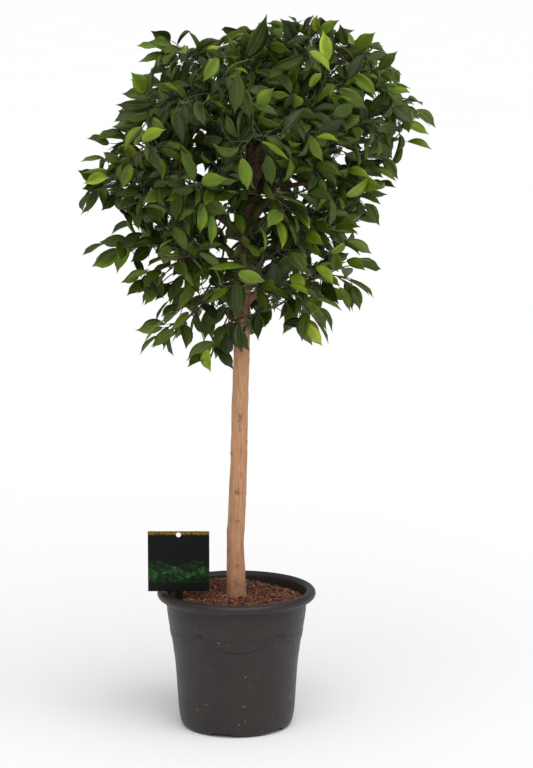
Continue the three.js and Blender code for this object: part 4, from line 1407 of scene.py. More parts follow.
def main_twigs(end, direction):
    """Twigs that could reach an end from the wood, the best one first."""
    found = []
    for index, run in enumerate(WOOD_RUNS):
        first, step = LIMB_STARTS if index else TRUNK_STARTS
        for k in range(round((1 - first) / step) + 1):
            share = first + step * k
            point, radius, along = on_run(run, share)
            reach = end - point
            length = np.linalg.norm(reach)
            bend = 1 - reach.dot(along) / length
            outwards, distance = (along, 0) if share == 1 else nearest_flat(index, reach, along, radius)
            start = point + outwards * (distance + TWIG_GAP)
            cost = abs(length - WANTED_TWIG) + BEND_COST * bend
            found.append((cost, len(found), Twig(start, outwards, end, direction)))
    return [twig for _, _, twig in sorted(found, key=lambda item: item[:2])]


def side_twig(spot, hand, draw, lengths=SIDE_TWIG_LENGTH):
    point, along, side, normal = spot
    turn = draw(*SIDE_TWIG_TURN) * DEGREES
    spread = draw(*SIDE_TWIG_SPREAD) * DEGREES
    length = draw(*lengths)
    out = side * hand * math.cos(turn) + normal * math.sin(turn)
    away = along * math.cos(spread) + out * math.sin(spread)
    bent = unit(away + along * SIDE_TWIG_BEND - UP * SIDE_TWIG_BEND)
    return Twig(point, away, point + away * length, bent)


def past_start(twig):
    """A twig's balls without those at its start, which touch what it grows from."""
    points, radius = twig.balls()
    return points[BALLS_AT_START:], radius


def draw_leaf(spot, hand, draw):
    point, along, side, normal = spot
    spread = draw(*LEAF_SPREAD) * DEGREES if hand else 0
    roll = draw(*LEAF_ROLL) * DEGREES
    rise = (point[2] - HEAD[0][0]) / (2 * HEAD_HALF)
    droop = draw(*DROOP_SHARE) * mix(*LEAF_DROOP, rise) if hand else 0
    length = LEAF_LENGTH * draw(*LEAF_LENGTHS)
    bend = draw(*LEAF_BEND)
    out = unit(along * math.cos(spread) + side * hand * math.sin(spread) - UP * droop)
    return Leaf(point, out, rolled(normal, out, roll), length, bend)


class Plan:
    """The places of all shoots, twigs and leaves."""

    def __init__(self):
        self.wood = Balls()
        self.grown = Balls()
        for run in WOOD_RUNS:
            for (start, start_radius), (end, end_radius) in zip(run, run[1:]):
                steps = math.ceil(np.linalg.norm(end - start) / BALL_STEP)
                shares = [step / steps for step in range(steps)]
                points = [mix(start, end, share) for share in shares]
                self.wood.add(points, [mix(start_radius, end_radius, share) for share in shares])
        draws = []
        self.shoots = []
        for index, (tip, direction) in enumerate(shoot_tips()):
            draw = drawer(index + 1)
            draws.append(draw)
            self.shoots.append(self.plan_twigs(tip, direction, draw))
        for main, draw in zip(self.shoots, draws):
            self.plan_leaves(main, draw)

    def clear(self, balls, spare):
        return self.grown.clear_of(*balls, spare) and self.wood.clear_of(*balls, spare)

    def has_room(self, twig):
        return (self.grown.clear_of(*twig.balls(), TWIG_SPARE)
                and self.wood.clear_of(*past_start(twig), TWIG_SPARE))

    def plan_twigs(self, tip, direction, draw):
        end = tip - direction * (LEAF_LENGTH + PETIOLE)
        main = next(twig for twig in main_twigs(end, direction) if self.has_room(twig))
        self.grown.add(*main.balls())
        for k, share in enumerate(FORKS):
            for attempt in range(TRIES):
                hand = -1 if (k + attempt) % 2 else 1
                twig = side_twig(main.at(share), hand, draw)
                if self.clear(past_start(twig), TWIG_SPARE):
                    self.grown.add(*twig.balls())
                    main.sides.append((share, hand, twig))
                    break
        return main

    def plan_leaves(self, main, draw):
        self.plan_leaf(main, 1, 0, draw)
        for share in (*FORKS, NEAR_END):
            hands = [hand for place, hand, _ in main.sides if place == share]
            self.plan_leaf(main, share, -hands[0] if hands else 1, draw)
        for _, hand, twig in main.sides:
            self.plan_leaf(twig, 1, 0, draw)
            self.plan_leaf(twig, SIDE_NEAR_END, hand, draw)

    def plan_leaf(self, twig, share, hand, draw):
        spot = twig.at(share)
        point, _, side, _ = spot
        for _ in range(TRIES):
            leaf = draw_leaf(spot, hand, draw)
            outwards = all(hand * (place - point).dot(side) >= abs(hand) * LEAF_OUTWARDS
                           for place in leaf.first_ring())
            if outwards and self.clear(leaf.balls(), LEAF_SPARE):
                self.grown.add(*leaf.balls())
                twig.leaves.append((share, leaf))
                return


def twigs_of(main):
    """A shoot's main twig and its side twigs."""
    return [main, *(side for _, _, side in main.sides)]


# More twigs and leaves for each shoot than the part's solids hold

# Height, middle and radius of the part of the head that is dense with leaves
DENSE = [
    [600, -30, 12], [640, -10, 28], [655, 5, 40], [687, 28, 72], [720, 38, 112], [752, 34, 143],
    [785, 22, 160], [817, 16, 174], [840, 20, 195], [865, 9, 216], [945, 21, 236], [977, 38, 246],
    [1024, 54, 236], [1072, 58, 200], [1090, 70, 176], [1104, 78, 166], [1120, 92, 122], [1136, 80, 94],
    [1154, 100, 50],
]
# Side twigs and leaves that are added along the twigs
EXTRA_FORKS = (0.14, 0.24, 0.32, 0.45, 0.5, 0.62, 0.7, 0.84)
SECOND_FORKS = (0.4, 0.65)
EXTRA_TWIG_LENGTH = (36, 62)
SECOND_TWIG_LENGTH = (24, 42)
EXTRA_TURN = 75
LEAF_STEP = 10.2
LOW_LEAF_STEP = 19
LOW_STRETCH = (690, 830)
LEAF_TURN = 80
EXTRA_TRIES = 7
EXTRA_LENGTHS = (0.62, 1.1)
EXTRA_WIDTHS = (0.76, 1.14)
EXTRA_BENDS = (0.0, 0.58)
EXTRA_SPREAD = (30, 80)
END_SPREAD = (0, 25)
EXTRA_DROOP = (0.0, 1.3)
EXTRA_DROOP_SHARE = (0.3, 1)
EXTRA_ROLL = (-105, 105)
FACING_HEIGHT = 60.0
FACING_UP = 0.5
TOO_STEEP = 0.95
EXTRA_SPARE = 1.0
EXTRA_ROOM = 10
HEAD_SPARE = 7
LEAVES_APART = 4
DENSITY_PLACE = 0.6
# Joints where a twig may grow to a place, and gaps that such twigs fill
JOINT_STEP = 12
JOINT_ALONG = 0.6
JOINT_TOWARDS = 0.7
JOINT_SPARE = 0.6
GAPS_TRIED = 3000
GAP_REACH = 16
FILL_TWIG_LENGTH = (22, 95)
FILLED_HEIGHTS = (715, 1149)
FILLED_OUT = (0.02, 1)
FILLED_EDGE = 14
FILLED_LEAST = 5
FILL_HANG = 0.3
FILL_JOINTS = 6
# How far leaves may reach, and the depth of the space in front of the limbs
HEAD_LEFT, HEAD_RIGHT, HEAD_LOW, HEAD_FRONT = -250, 322, 603, -244
LIMBS_FRONT = -15
TUCK_STEPS = 12
TUCK = 0.16
# Leaves that the photo shows, and the space that they keep free before them
SEEN_LENGTH = 47
SEEN_TWIG = (10, 170)
SEEN_OUT = 4
SEEN_DEPTHS = (0, -10, 10, -20, 20, -32, 32, 45)
SEEN_TOWARDS = 0.8
SEEN_UP = 0.35
SEEN_BENDS = (0.04, 0.2)
SEEN_SPARE = -1.0
SEEN_JOINTS = 30
VIEW_DEPTH = -60
VIEW_SHARES = (0.15, 0.5, 0.85)
VIEW_STEPS = range(14, 57, 14)
VIEW_BALL = 5.0
OPEN_STEP = 1.5
SEEN_SEED = 91
FORK_SEED = 101
SECOND_FORK_SEED = 151
LEAF_SEED = 201
FILL_SEED = 251
DARK, DEEP, PLAIN, BRIGHT, YOUNG, YELLOW = 0.06, 0.22, 0.42, 0.66, 0.8, 0.96
# Leaves that stand out in the photo: where the foot and the tip of each blade are seen, as places on the
# upright plane through the trunk, then tint, width as a share of the length, and roll from facing the camera
SEEN_LEAVES = [
    (-103, 1118, -131, 1133, DEEP, 0.5, 10), (-118, 1108, -155, 1115, BRIGHT, 0.42, -50),
    (-101, 1090, -155, 1095, BRIGHT, 0.4, -45), (-91, 1112, -75, 1140, DEEP, 0.4, 65),
    (-144, 1035, -163, 1067, 0.72, 0.62, 5), (-133, 1019, -193, 1013, DEEP, 0.4, 40),
    (-134, 1027, -182, 1037, PLAIN, 0.46, -20), (-202, 956, -233, 964, PLAIN, 0.5, -15),
    (-210, 932, -244, 933, BRIGHT, 0.4, -40), (-218, 895, -249, 913, DEEP, 0.5, 10),
    (-212, 890, -242, 882, DEEP, 0.44, 20), (-219, 877, -250, 839, PLAIN, 0.34, 55),
    (-195, 873, -209, 850, DARK, 0.44, 30), (-187, 852, -162, 825, PLAIN, 0.34, 60),
    (-174, 800, -219, 804, PLAIN, 0.44, 10), (-182, 784, -235, 757, BRIGHT, 0.42, 5),
    (-156, 750, -183, 736, BRIGHT, 0.42, 30), (-151, 737, -170, 711, PLAIN, 0.4, 30),
    (-147, 744, -142, 712, DEEP, 0.4, -35), (-136, 745, -115, 710, DEEP, 0.5, 5),
    (-91, 737, -111, 702, PLAIN, 0.4, -30), (-66, 727, -95, 696, BRIGHT, 0.42, 20),
    (-94, 698, -122, 685, PLAIN, 0.4, -40), (-57, 711, -82, 691, BRIGHT, 0.4, 40),
    (-138, 790, -167, 768, DEEP, 0.5, 0), (-160, 770, -153, 746, DEEP, 0.4, 20),
    (-76, 684, -104, 660, YOUNG, 0.42, 40), (-118, 659, -162, 655, BRIGHT, 0.36, 50),
    (-109, 659, -138, 632, BRIGHT, 0.38, 40), (-99, 653, -116, 638, YOUNG, 0.5, -30),
    (-40, 696, -57, 638, PLAIN, 0.36, 20), (-18, 696, -43, 657, DEEP, 0.4, 25),
    (-38, 637, -72, 601, BRIGHT, 0.4, 15), (-33, 637, -17, 609, PLAIN, 0.55, 5),
    (-1, 666, -18, 647, BRIGHT, 0.5, -20), (-1, 738, 9, 671, DEEP, 0.42, 5),
    (41, 688, 30, 637, DEEP, 0.4, -15), (37, 719, 50, 686, PLAIN, 0.44, 20),
    (20, 758, -49, 762, BRIGHT, 0.3, -50), (3, 748, 45, 731, BRIGHT, 0.5, -15),
    (60, 765, 67, 707, 0, 0.46, 5), (87, 780, 112, 749, 0.36, 0.6, 10),
    (129, 758, 159, 735, YOUNG, 0.44, 20), (98, 748, 98, 722, YOUNG, 0.62, 5),
    (144, 721, 180, 705, BRIGHT, 0.44, 10), (175, 733, 189, 682, DEEP, 0.36, 20),
    (188, 727, 202, 692, PLAIN, 0.42, -15), (192, 734, 226, 715, PLAIN, 0.34, 55),
    (133, 709, 112, 683, YOUNG, 0.6, 5), (102, 723, 106, 694, DARK, 0.46, 20),
    (84, 709, 100, 681, DEEP, 0.4, 30), (79, 703, 75, 676, DARK, 0.3, 60),
    (110, 666, 77, 672, DARK, 0.46, -10), (115, 665, 137, 630, YELLOW, 0.44, 5),
    (205, 859, 235, 829, PLAIN, 0.4, 25), (200, 870, 232, 865, PLAIN, 0.34, 50),
    (163, 823, 197, 815, PLAIN, 0.36, 50), (167, 798, 203, 785, PLAIN, 0.4, 40),
    (179, 769, 208, 759, BRIGHT, 0.46, 20), (-40, 842, -33, 791, BRIGHT, 0.34, 30),
    (-101, 821, -73, 796, PLAIN, 0.5, 5), (71, 846, 52, 827, BRIGHT, 0.6, 5),
    (18, 1091, 60, 1156, DEEP, 0.4, -35), (91, 1122, 71, 1150, DARK, 0.5, 5),
    (104, 1129, 120, 1159, DARK, 0.36, 60), (129, 1132, 125, 1158, YELLOW, 0.4, 20),
    (133, 1126, 161, 1150, BRIGHT, 0.44, 20), (144, 1082, 138, 1135, 0.9, 0.42, -10),
    (175, 1110, 160, 1142, DEEP, 0.4, 25), (194, 1103, 216, 1132, BRIGHT, 0.55, 5),
    (213, 1101, 224, 1115, PLAIN, 0.42, 30), (226, 1072, 256, 1101, PLAIN, 0.42, 15),
    (232, 1075, 268, 1072, PLAIN, 0.3, 62), (246, 1038, 275, 1041, BRIGHT, 0.46, 15),
    (249, 1012, 287, 993, DEEP, 0.5, 5), (286, 1008, 322, 986, PLAIN, 0.4, 25),
    (267, 989, 309, 968, YOUNG, 0.38, 20), (274, 958, 312, 951, BRIGHT, 0.36, 30),
    (234, 932, 263, 904, PLAIN, 0.42, 10), (223, 888, 254, 894, PLAIN, 0.4, 30),
    (3, 1065, 4, 1000, 0.3, 0.4, 0), (-28, 1091, -47, 1053, BRIGHT, 0.5, 20),
    (36, 1015, 58, 1045, BRIGHT, 0.5, -10), (117, 1101, 154, 1070, YOUNG, 0.4, 25),
    (128, 964, 165, 968, YOUNG, 0.34, 45), (41, 958, 89, 933, BRIGHT, 0.34, 45),
    (-55, 893, -15, 906, BRIGHT, 0.5, 5), (10, 932, 18, 878, BRIGHT, 0.44, 15),
    (74, 880, 34, 860, PLAIN, 0.62, 0), (-150, 959, -114, 985, YOUNG, 0.46, 10),
    (179, 1057, 209, 1099, DARK, 0.42, 5), (77, 976, 114, 1011, DARK, 0.44, 5),
    (-93, 1003, -86, 951, DARK, 0.36, 15),
]

# Openings between the leaves, onto bare wood and right through the head: x and z on the plane through the
# trunk, and the opening's radius
BARE_WOOD = [
    (36, 928, 9), (33, 909, 9), (30, 890, 9), (27, 871, 9), (25, 856, 8), (36, 844, 7), (91, 890, 7),
    (98, 875, 7), (114, 851, 7), (58, 799, 7), (16, 736, 9), (20, 720, 9), (22, 701, 9), (41, 701, 7),
]
SEE_THROUGH = [
    (93, 898, 5), (106, 878, 6), (104, 863, 5), (-19, 865, 5), (-31, 830, 5), (-18, 821, 5), (-7, 794, 5),
    (54, 815, 5), (-34, 772, 6), (-20, 774, 5), (52, 763, 5), (125, 769, 5), (169, 932, 3.5), (177, 944, 3.5),
    (-53, 971, 4), (-57, 911, 4), (-153, 951, 3.5), (167, 1079, 3.5), (211, 1025, 3), (200, 951, 3.5),
    (-47, 728, 7), (-74, 732, 6), (-101, 701, 7), (-20, 666, 8), (-139, 790, 6), (-185, 770, 7),
    (-112, 751, 6), (75, 690, 9), (88, 700, 8), (150, 715, 7), (160, 690, 8), (60, 655, 9), (140, 740, 5),
]


def turned(spot, angle):
    """A place's directions, turned about the twig."""
    point, along, side, normal = spot
    turned_side = side * math.cos(angle) + normal * math.sin(angle)
    return point, along, turned_side, cross(along, turned_side)


def tuck_in(leaf):
    """Turns a leaf about its foot where it would hang out of the head's sides or bottom."""
    for _ in range(TUCK_STEPS):
        tip = leaf.point(1)
        pull = np.array([float(tip[0] < HEAD_LEFT) - float(tip[0] > HEAD_RIGHT), 0, float(tip[2] < HEAD_LOW)])
        if not pull.any():
            return
        leaf.along = unit(leaf.along + TUCK * pull)
        leaf.normal = square_to(leaf.normal, leaf.along)
        leaf.side = cross(leaf.normal, leaf.along)


def head_room(point):
    """How far inside the dense head's outline a point lies."""
    middle, radius = at_height(DENSE, point[2])
    low, high = DENSE[0][0], DENSE[-1][0]
    return min(radius - math.hypot(point[0] - middle, point[1]), point[2] - low, high - point[2])


def draw_extra_leaf(spot, hand, draw):
    """A leaf that hangs more or less, and turns its upper side outwards and up."""
    point, along, side, normal = spot
    spread = draw(*(EXTRA_SPREAD if hand else END_SPREAD)) * DEGREES
    length = LEAF_LENGTH * draw(*EXTRA_LENGTHS)
    droop = draw(*EXTRA_DROOP) * draw(*EXTRA_DROOP_SHARE)
    out = unit(along * math.cos(spread) + side * (hand or 1) * math.sin(spread) - UP * droop)
    middle = at_height(HEAD, point[2])[0]
    outwards = np.array([point[0] - middle, point[1], FACING_HEIGHT])
    facing = unit(outwards / np.linalg.norm(outwards) + UP * FACING_UP)
    if abs(facing.dot(out)) > TOO_STEEP:
        facing = normal
    upper = rolled(facing, out, draw(*EXTRA_ROLL) * DEGREES)
    return Leaf(point, out, upper, length, draw(*EXTRA_BENDS), length * LEAF_SHAPE * draw(*EXTRA_WIDTHS))


class Growth:
    """Twigs and leaves that fill the head between the planned ones."""

    def __init__(self, plan):
        self.plan = plan
        self.thin = Balls()
        self.places = []
        for main in plan.shoots:
            for twig in twigs_of(main):
                self.keep_twig(twig, main)
                for _, leaf in twig.leaves:
                    self.thin.add(*leaf.thin_balls())

    def keep_twig(self, twig, main):
        points, _ = twig.balls()
        self.thin.add(points, THIN_TWIG)
        steps = max(int(twig.length / JOINT_STEP), 2)
        for k in range(1, steps + 1):
            share = k / (steps + 1)
            self.places.append((twig.point(share), share, twig, main))

    def clear(self, points, radii, spare=0.0):
        return self.thin.clear_of(points, radii, spare) and self.plan.wood.clear_of(points, radii, spare)

    def add_twig(self, main, parent, share, draw, lengths):
        for _ in range(EXTRA_TRIES):
            hand = 1 if draw(0, 1) < 0.5 else -1
            spot = turned(parent.at(share), draw(-EXTRA_TURN, EXTRA_TURN) * DEGREES)
            twig = side_twig(spot, hand, draw, lengths)
            if self.try_twig(main, share, hand, twig):
                return

    def try_twig(self, main, share, hand, twig):
        points, _ = past_start(twig)
        if head_room(twig.d) < EXTRA_ROOM or not self.clear(points, THIN_TWIG, EXTRA_SPARE):
            return False
        main.sides.append((share, hand, twig))
        self.keep_twig(twig, main)
        return True

    def add_leaf(self, twig, share, hand, draw):
        for _ in range(EXTRA_TRIES):
            spot = turned(twig.at(share), draw(-LEAF_TURN, LEAF_TURN) * DEGREES)
            leaf = draw_extra_leaf(spot, hand, draw)
            if head_room(leaf.point(1)) < -HEAD_SPARE or leaf.point(1)[1] < HEAD_FRONT:
                continue
            if self.clear(*leaf.thin_balls()):
                self.thin.add(*leaf.thin_balls())
                twig.leaves.append((share, leaf))
                return

    def add_leaves(self, twig, draw):
        taken = [share for share, _ in twig.leaves]
        if not taken:
            self.add_leaf(twig, 1, 0, draw)
        step = mix(LOW_LEAF_STEP, LEAF_STEP, smooth_step(*LOW_STRETCH, twig.point(DENSITY_PLACE)[2]))
        nodes = max(int(twig.length / step), 2)
        for k in range(1, nodes):
            share = k / nodes
            if all(abs(share - other) * twig.length > LEAVES_APART for other in taken):
                self.add_leaf(twig, share, 1 if k % 2 else -1, draw)

    def join(self, goal, heading, nearest, lengths):
        """Grows a twig to a place from one of the nearest twigs that it can reach."""
        known = np.array([place for place, _, _, _ in self.places])
        order = np.argsort(((known - goal) ** 2).sum(axis=1))[:nearest]
        for index in order:
            start, share, parent, main = self.places[index]
            if not lengths[0] < math.dist(goal, start) < lengths[1]:
                continue
            towards = unit(goal - start)
            twig = Twig(start, unit(towards + parent.at(share)[1] * JOINT_ALONG), goal,
                        unit(towards * JOINT_TOWARDS + heading))
            inner = twig.balls()[0][BALLS_AT_START:-1]
            if not inner or self.clear(inner, THIN_TWIG, JOINT_SPARE):
                main.sides.append((share, 1, twig))
                self.keep_twig(twig, main)
                return twig
        return None

    def add_seen_leaf(self, row, draw):
        """A leaf that stands out in the photo, in front of or at the edge of the head."""
        x, z, tip_x, tip_z, tint, broad, roll = row
        middle, radius = at_height(DENSE, (z + tip_z) / 2)
        depth = -math.sqrt(max((radius + SEEN_OUT) ** 2 - ((x + tip_x) / 2 - middle) ** 2, 0))
        for step in SEEN_DEPTHS:
            base = seen_at(x, z, depth + step)
            tip = seen_at(tip_x, tip_z, depth + step)
            seen = math.dist(base, tip)
            tip = tip + FRONT * math.sqrt(max(SEEN_LENGTH**2 - seen**2, 0)) * SEEN_TOWARDS
            if tip[1] < HEAD_FRONT:
                continue
            along = unit(tip - base)
            length = math.dist(base, tip)
            upper = rolled(unit(FRONT + UP * SEEN_UP), along, roll * DEGREES)
            leaf = Leaf(base - along * PETIOLE, along, upper, length, draw(*SEEN_BENDS), length * broad)
            leaf.tint = tint
            if not self.clear(*leaf.thin_balls(), SEEN_SPARE):
                continue
            twig = self.join(leaf.root, along + FRONT * SEEN_TOWARDS, SEEN_JOINTS, SEEN_TWIG)
            if twig:
                self.thin.add(*leaf.thin_balls())
                twig.leaves.append((1, leaf))
                if depth < VIEW_DEPTH:
                    self.keep_view(leaf)
                return

    def keep_view(self, leaf):
        """Keeps the space between a leaf and the camera free."""
        for share in VIEW_SHARES:
            place = leaf.point(share)
            towards = unit(np.array(CAMERA_PLACE) / MM - place)
            for distance in VIEW_STEPS:
                self.thin.add([place + towards * distance], VIEW_BALL)

    def keep_open(self, row, back):
        """Keeps an opening free from the front of the head back to a depth."""
        x, z, reach = row
        for depth in np.arange(HEAD_FRONT, back, reach * OPEN_STEP):
            self.thin.add([seen_at(x, z, depth)], reach)

    def fill_gap(self, draw):
        """Grows a twig from the nearest one into an empty place, if there is one at the drawn point."""
        height = draw(*FILLED_HEIGHTS)
        middle, radius = at_height(DENSE, height)
        angle = draw(0, 2 * math.pi)
        out = math.sqrt(draw(*FILLED_OUT)) * max(radius - FILLED_EDGE, FILLED_LEAST)
        goal = np.array([middle + out * math.cos(angle), out * math.sin(angle), height])
        if not self.clear([goal], GAP_REACH):
            return
        twig = self.join(goal, -UP * FILL_HANG, FILL_JOINTS, FILL_TWIG_LENGTH)
        if twig:
            self.add_leaves(twig, draw)


def seen_at(x, z, depth):
    """The place at a depth that is seen where a place on the plane through the trunk is."""
    camera = np.array(CAMERA_PLACE) / MM
    place = np.array([x, 0.0, z])
    return camera + (place - camera) * (depth - camera[1]) / -camera[1]


def grow_more(plan):
    """Adds side twigs, and leaves along all twigs, where there is room for them."""
    for main in plan.shoots:
        for twig in twigs_of(main):
            twig.planned = True
            for _, leaf in twig.leaves:
                tuck_in(leaf)
    growth = Growth(plan)
    draw = drawer(SEEN_SEED)
    for row in SEEN_LEAVES:
        growth.add_seen_leaf(row, draw)
    for row in BARE_WOOD:
        growth.keep_open(row, LIMBS_FRONT)
    for row in SEE_THROUGH:
        growth.keep_open(row, -HEAD_FRONT)
    for index, main in enumerate(plan.shoots):
        draw = drawer(index + FORK_SEED)
        for share in EXTRA_FORKS:
            growth.add_twig(main, main, share, draw, EXTRA_TWIG_LENGTH)
    for index, main in enumerate(plan.shoots):
        draw = drawer(index + SECOND_FORK_SEED)
        for _, _, twig in list(main.sides):
            for share in SECOND_FORKS:
                growth.add_twig(main, twig, share, draw, SECOND_TWIG_LENGTH)
    for index, main in enumerate(plan.shoots):
        draw = drawer(index + LEAF_SEED)
        for twig in twigs_of(main):
            growth.add_leaves(twig, draw)
    draw = drawer(FILL_SEED)
    for _ in range(GAPS_TRIED):
        growth.fill_gap(draw)


# Skins of the shoots

# Places of a blade's points, as shares of its length and of half its width, and how thick it is
BLADE_ALONG = np.array([0, 0.06, 0.16, 0.28, 0.42, 0.56, 0.7, 0.83, 0.93, 1.0])
BLADE_ACROSS = np.array([-1, -0.52, 0, 0.52, 1])
BLADE_THICKNESS = 0.32
RIB_DEPTH = 0.55
# Stalks and twigs
TWIG_SIDES = 6
THIN_TWIG_RADII = (0.85, 0.55)
STALK_SIDES = 4
STALK_RADIUS = 0.7
# The map: a strip of it for stalks and twigs, and a cell for each side of a blade
STALK_STRIP = 0.12
STRIP_EDGE = 0.01
TUBE_WIDTH = 0.9
BLADE_CELL = (0.5, 0.46)
BLADE_CELL_FOOT = (0.03, 0.94)
# The shape of a blade: its drawn-out tip, its foot, and what makes it curved and waved
TIP_STRETCH = (0.68, 0.93)
TIP_NARROWING = 0.62
FOOT_WIDTH = 0.35
# Limits of what is drawn for each blade: fold, curl, twist in degrees, and its edge's waves and their start
BLADE_DRAWS = [(0.14, 0.82), (-0.13, 0.13), (-44, 44), (0.3, 1.2), (0, 6.28)]
TWIST_PLACE = 0.15
WAVE_RATE = 9.5
WAVE_SHIFT = 1.7
FOLD_POWER = 1.25
RIB_REACH = 0.1
LEAST_ARC = 1e-6
# The order of a face's corners where the upper side of a blade has it
UPPER_ORDER = [0, 3, 2, 1]


def blade_faces():
    """Faces of a blade's upper and lower side, which share their edge points."""
    rows, columns = len(BLADE_ALONG), len(BLADE_ACROSS)
    lower = np.arange(rows * columns).reshape(rows, columns)
    lower[1:-1, 1:-1] = rows * columns + np.arange((rows - 2) * (columns - 2)).reshape(rows - 2, columns - 2)
    faces = grid_faces(rows, columns)
    return np.concatenate([faces[:, UPPER_ORDER], lower.ravel()[faces]])


BLADE_FACES = blade_faces()


def blade_values():
    """Where each point of a blade lies, along, across and on top or below."""
    along, across = np.meshgrid(BLADE_ALONG, BLADE_ACROSS, indexing="ij")
    upper = np.stack([along, across, np.ones_like(along)], axis=-1)
    lower = upper[1:-1, 1:-1] * (1, 1, 0)
    return np.concatenate([upper.reshape(-1, 3), lower.reshape(-1, 3)])


BLADE_VALUES = blade_values()


def turned_pair(first, second, angles):
    """Two directions that are square to each other, turned by one angle at each point."""
    cosines, sines = np.cos(angles)[..., None], np.sin(angles)[..., None]
    return first * cosines + second * sines, second * cosines - first * sines


def blade_points(leaf, draw):
    """Points of a thin blade: folded along its rib, bent down, twisted a little and waved at its edges."""
    along, across = np.meshgrid(BLADE_ALONG, BLADE_ACROSS, indexing="ij")
    half = leaf_half_width(along) * leaf.width
    half = half * (1 - TIP_NARROWING * smooth_step(*TIP_STRETCH, along)) + FOOT_WIDTH * (1 - along)
    fold, curl, twist, wave, start = [draw(*limits) for limits in BLADE_DRAWS]
    side, normal = turned_pair(leaf.side, leaf.normal, twist * DEGREES * (along - TWIST_PLACE))
    arc = 2 * leaf.bend + LEAST_ARC
    forward = np.sin(arc * along) / arc * leaf.length
    drop = (1 - np.cos(arc * along)) / arc * leaf.length
    middle = (leaf.root + leaf.along * (PETIOLE + forward)[..., None] - leaf.normal * drop[..., None]
              + leaf.side * (curl * leaf.length * along**2)[..., None])
    normal, _ = turned_pair(normal, leaf.along, arc * along)
    off = np.abs(across)
    waves = np.sin(WAVE_RATE * along + start + WAVE_SHIFT * (across < 0))
    lift = fold * half * off**FOLD_POWER + wave * waves * off**2 * np.sin(np.pi * along)
    upper = middle + side * (half * across)[..., None] + normal * lift[..., None]
    thickness = BLADE_THICKNESS + RIB_DEPTH * (1 - along) * (off < RIB_REACH)
    lower = (upper - normal * thickness[..., None])[1:-1, 1:-1]
    return np.concatenate([upper.reshape(-1, 3), lower.reshape(-1, 3)])


def map_spots(across, along):
    """Places on the map for a grid of points, row by row."""
    return np.stack(np.meshgrid(across, along), axis=-1).reshape(-1, 2)


def blade_map(cell, columns, rows):
    """The corners of a blade's faces on the map: its two sides lie in two cells."""
    wide, tall = 1 / columns, (1 - STALK_STRIP) / rows
    faces = grid_faces(len(BLADE_ALONG), len(BLADE_ACROSS))
    corners = []
    for number, kept in ((2 * cell, faces[:, UPPER_ORDER]), (2 * cell + 1, faces)):
        left, low = (number % columns) / columns, (number // columns) / rows * (1 - STALK_STRIP)
        spots = map_spots(left + (BLADE_CELL[0] + BLADE_CELL[1] * BLADE_ACROSS) * wide,
                          low + (BLADE_CELL_FOOT[0] + BLADE_CELL_FOOT[1] * BLADE_ALONG) * tall)
        corners.append(spots[kept.ravel()])
    return np.concatenate(corners)


def tube_map(number, count, rings, sides):
    """The corners of a tube's faces and caps on the map's strip for stalks and twigs."""
    left, wide = number / count, TUBE_WIDTH / count
    low, tall = 1 - STALK_STRIP + STRIP_EDGE, STALK_STRIP - 2 * STRIP_EDGE
    spots = map_spots(left + wide * np.arange(sides + 1) / sides, low + tall * np.arange(rings) / (rings - 1))
    caps = [(left + wide * share, low + tall * end) for end in (0, 1) for share in (0, 1, 0.5) * sides]
    return np.concatenate([spots[grid_faces(rings, sides + 1).ravel()], caps])


def add_tube(skin, places, radii, sides, normal, youth, tint, spot):
    """A stalk or twig, with its place along it, how young it is and its tint at each point."""
    points, faces, caps = tube(places, radii, sides, normal)
    values = np.tile([0, youth, 0.0], (len(points), 1))
    values[:len(places) * sides, 0] = np.repeat(np.linspace(0, 1, len(places)), sides)
    corners = tube_map(*spot, len(places), sides)
    skin.add(points, faces, caps, material=1, corners=corners, leaf_place=values, leaf_tint=tint)


SHADES = (0.06, 0.5)
END_OF_TWIG = 0.97
END_LIGHTER = 0.10
# How likely a leaf is to be lighter by a step, and by one more
LIGHTER = (0.3, 0.03)
LIGHTER_STEP = 0.26
# Leaves deep inside the head are painted darker: painted shade
INNER_PAINTED_SHADE_DEPTHS = (20, 90)
INNER_PAINTED_SHADE = 0.2
SHADE_LIMITS = (0.02, 0.95)


def leaf_shade(leaf, share, draw):
    """How light a leaf is: young ones at the ends of twigs are lighter, those deep in the head get painted
    shade, and chance does the rest.
    """
    if leaf.tint is not None:
        return leaf.tint
    shade = draw(*SHADES)
    if share > END_OF_TWIG:
        shade += END_LIGHTER
    for chance in LIGHTER:
        if draw(0, 1) < chance:
            shade += LIGHTER_STEP
    # Painted shade on leaves deep inside the head
    shade -= INNER_PAINTED_SHADE * smooth_step(*INNER_PAINTED_SHADE_DEPTHS, head_room(leaf.point(0.5)))
    return min(max(shade, SHADE_LIMITS[0]), SHADE_LIMITS[1])


SHOOT_SEED = 301
MAP_WIDTH = 4.2
RING_STEP = 5
LEAST_TWIG_RINGS = 6
STALK_SAG = 0.8
STALK_END = 0.03
STALK_RADII = (1.1, 0.8, 0.5)
NODE_SWELL = 0.22
NODE_REACH = 2.2
MAIN_YOUTH = 0.15
SIDE_YOUTH = 0.75


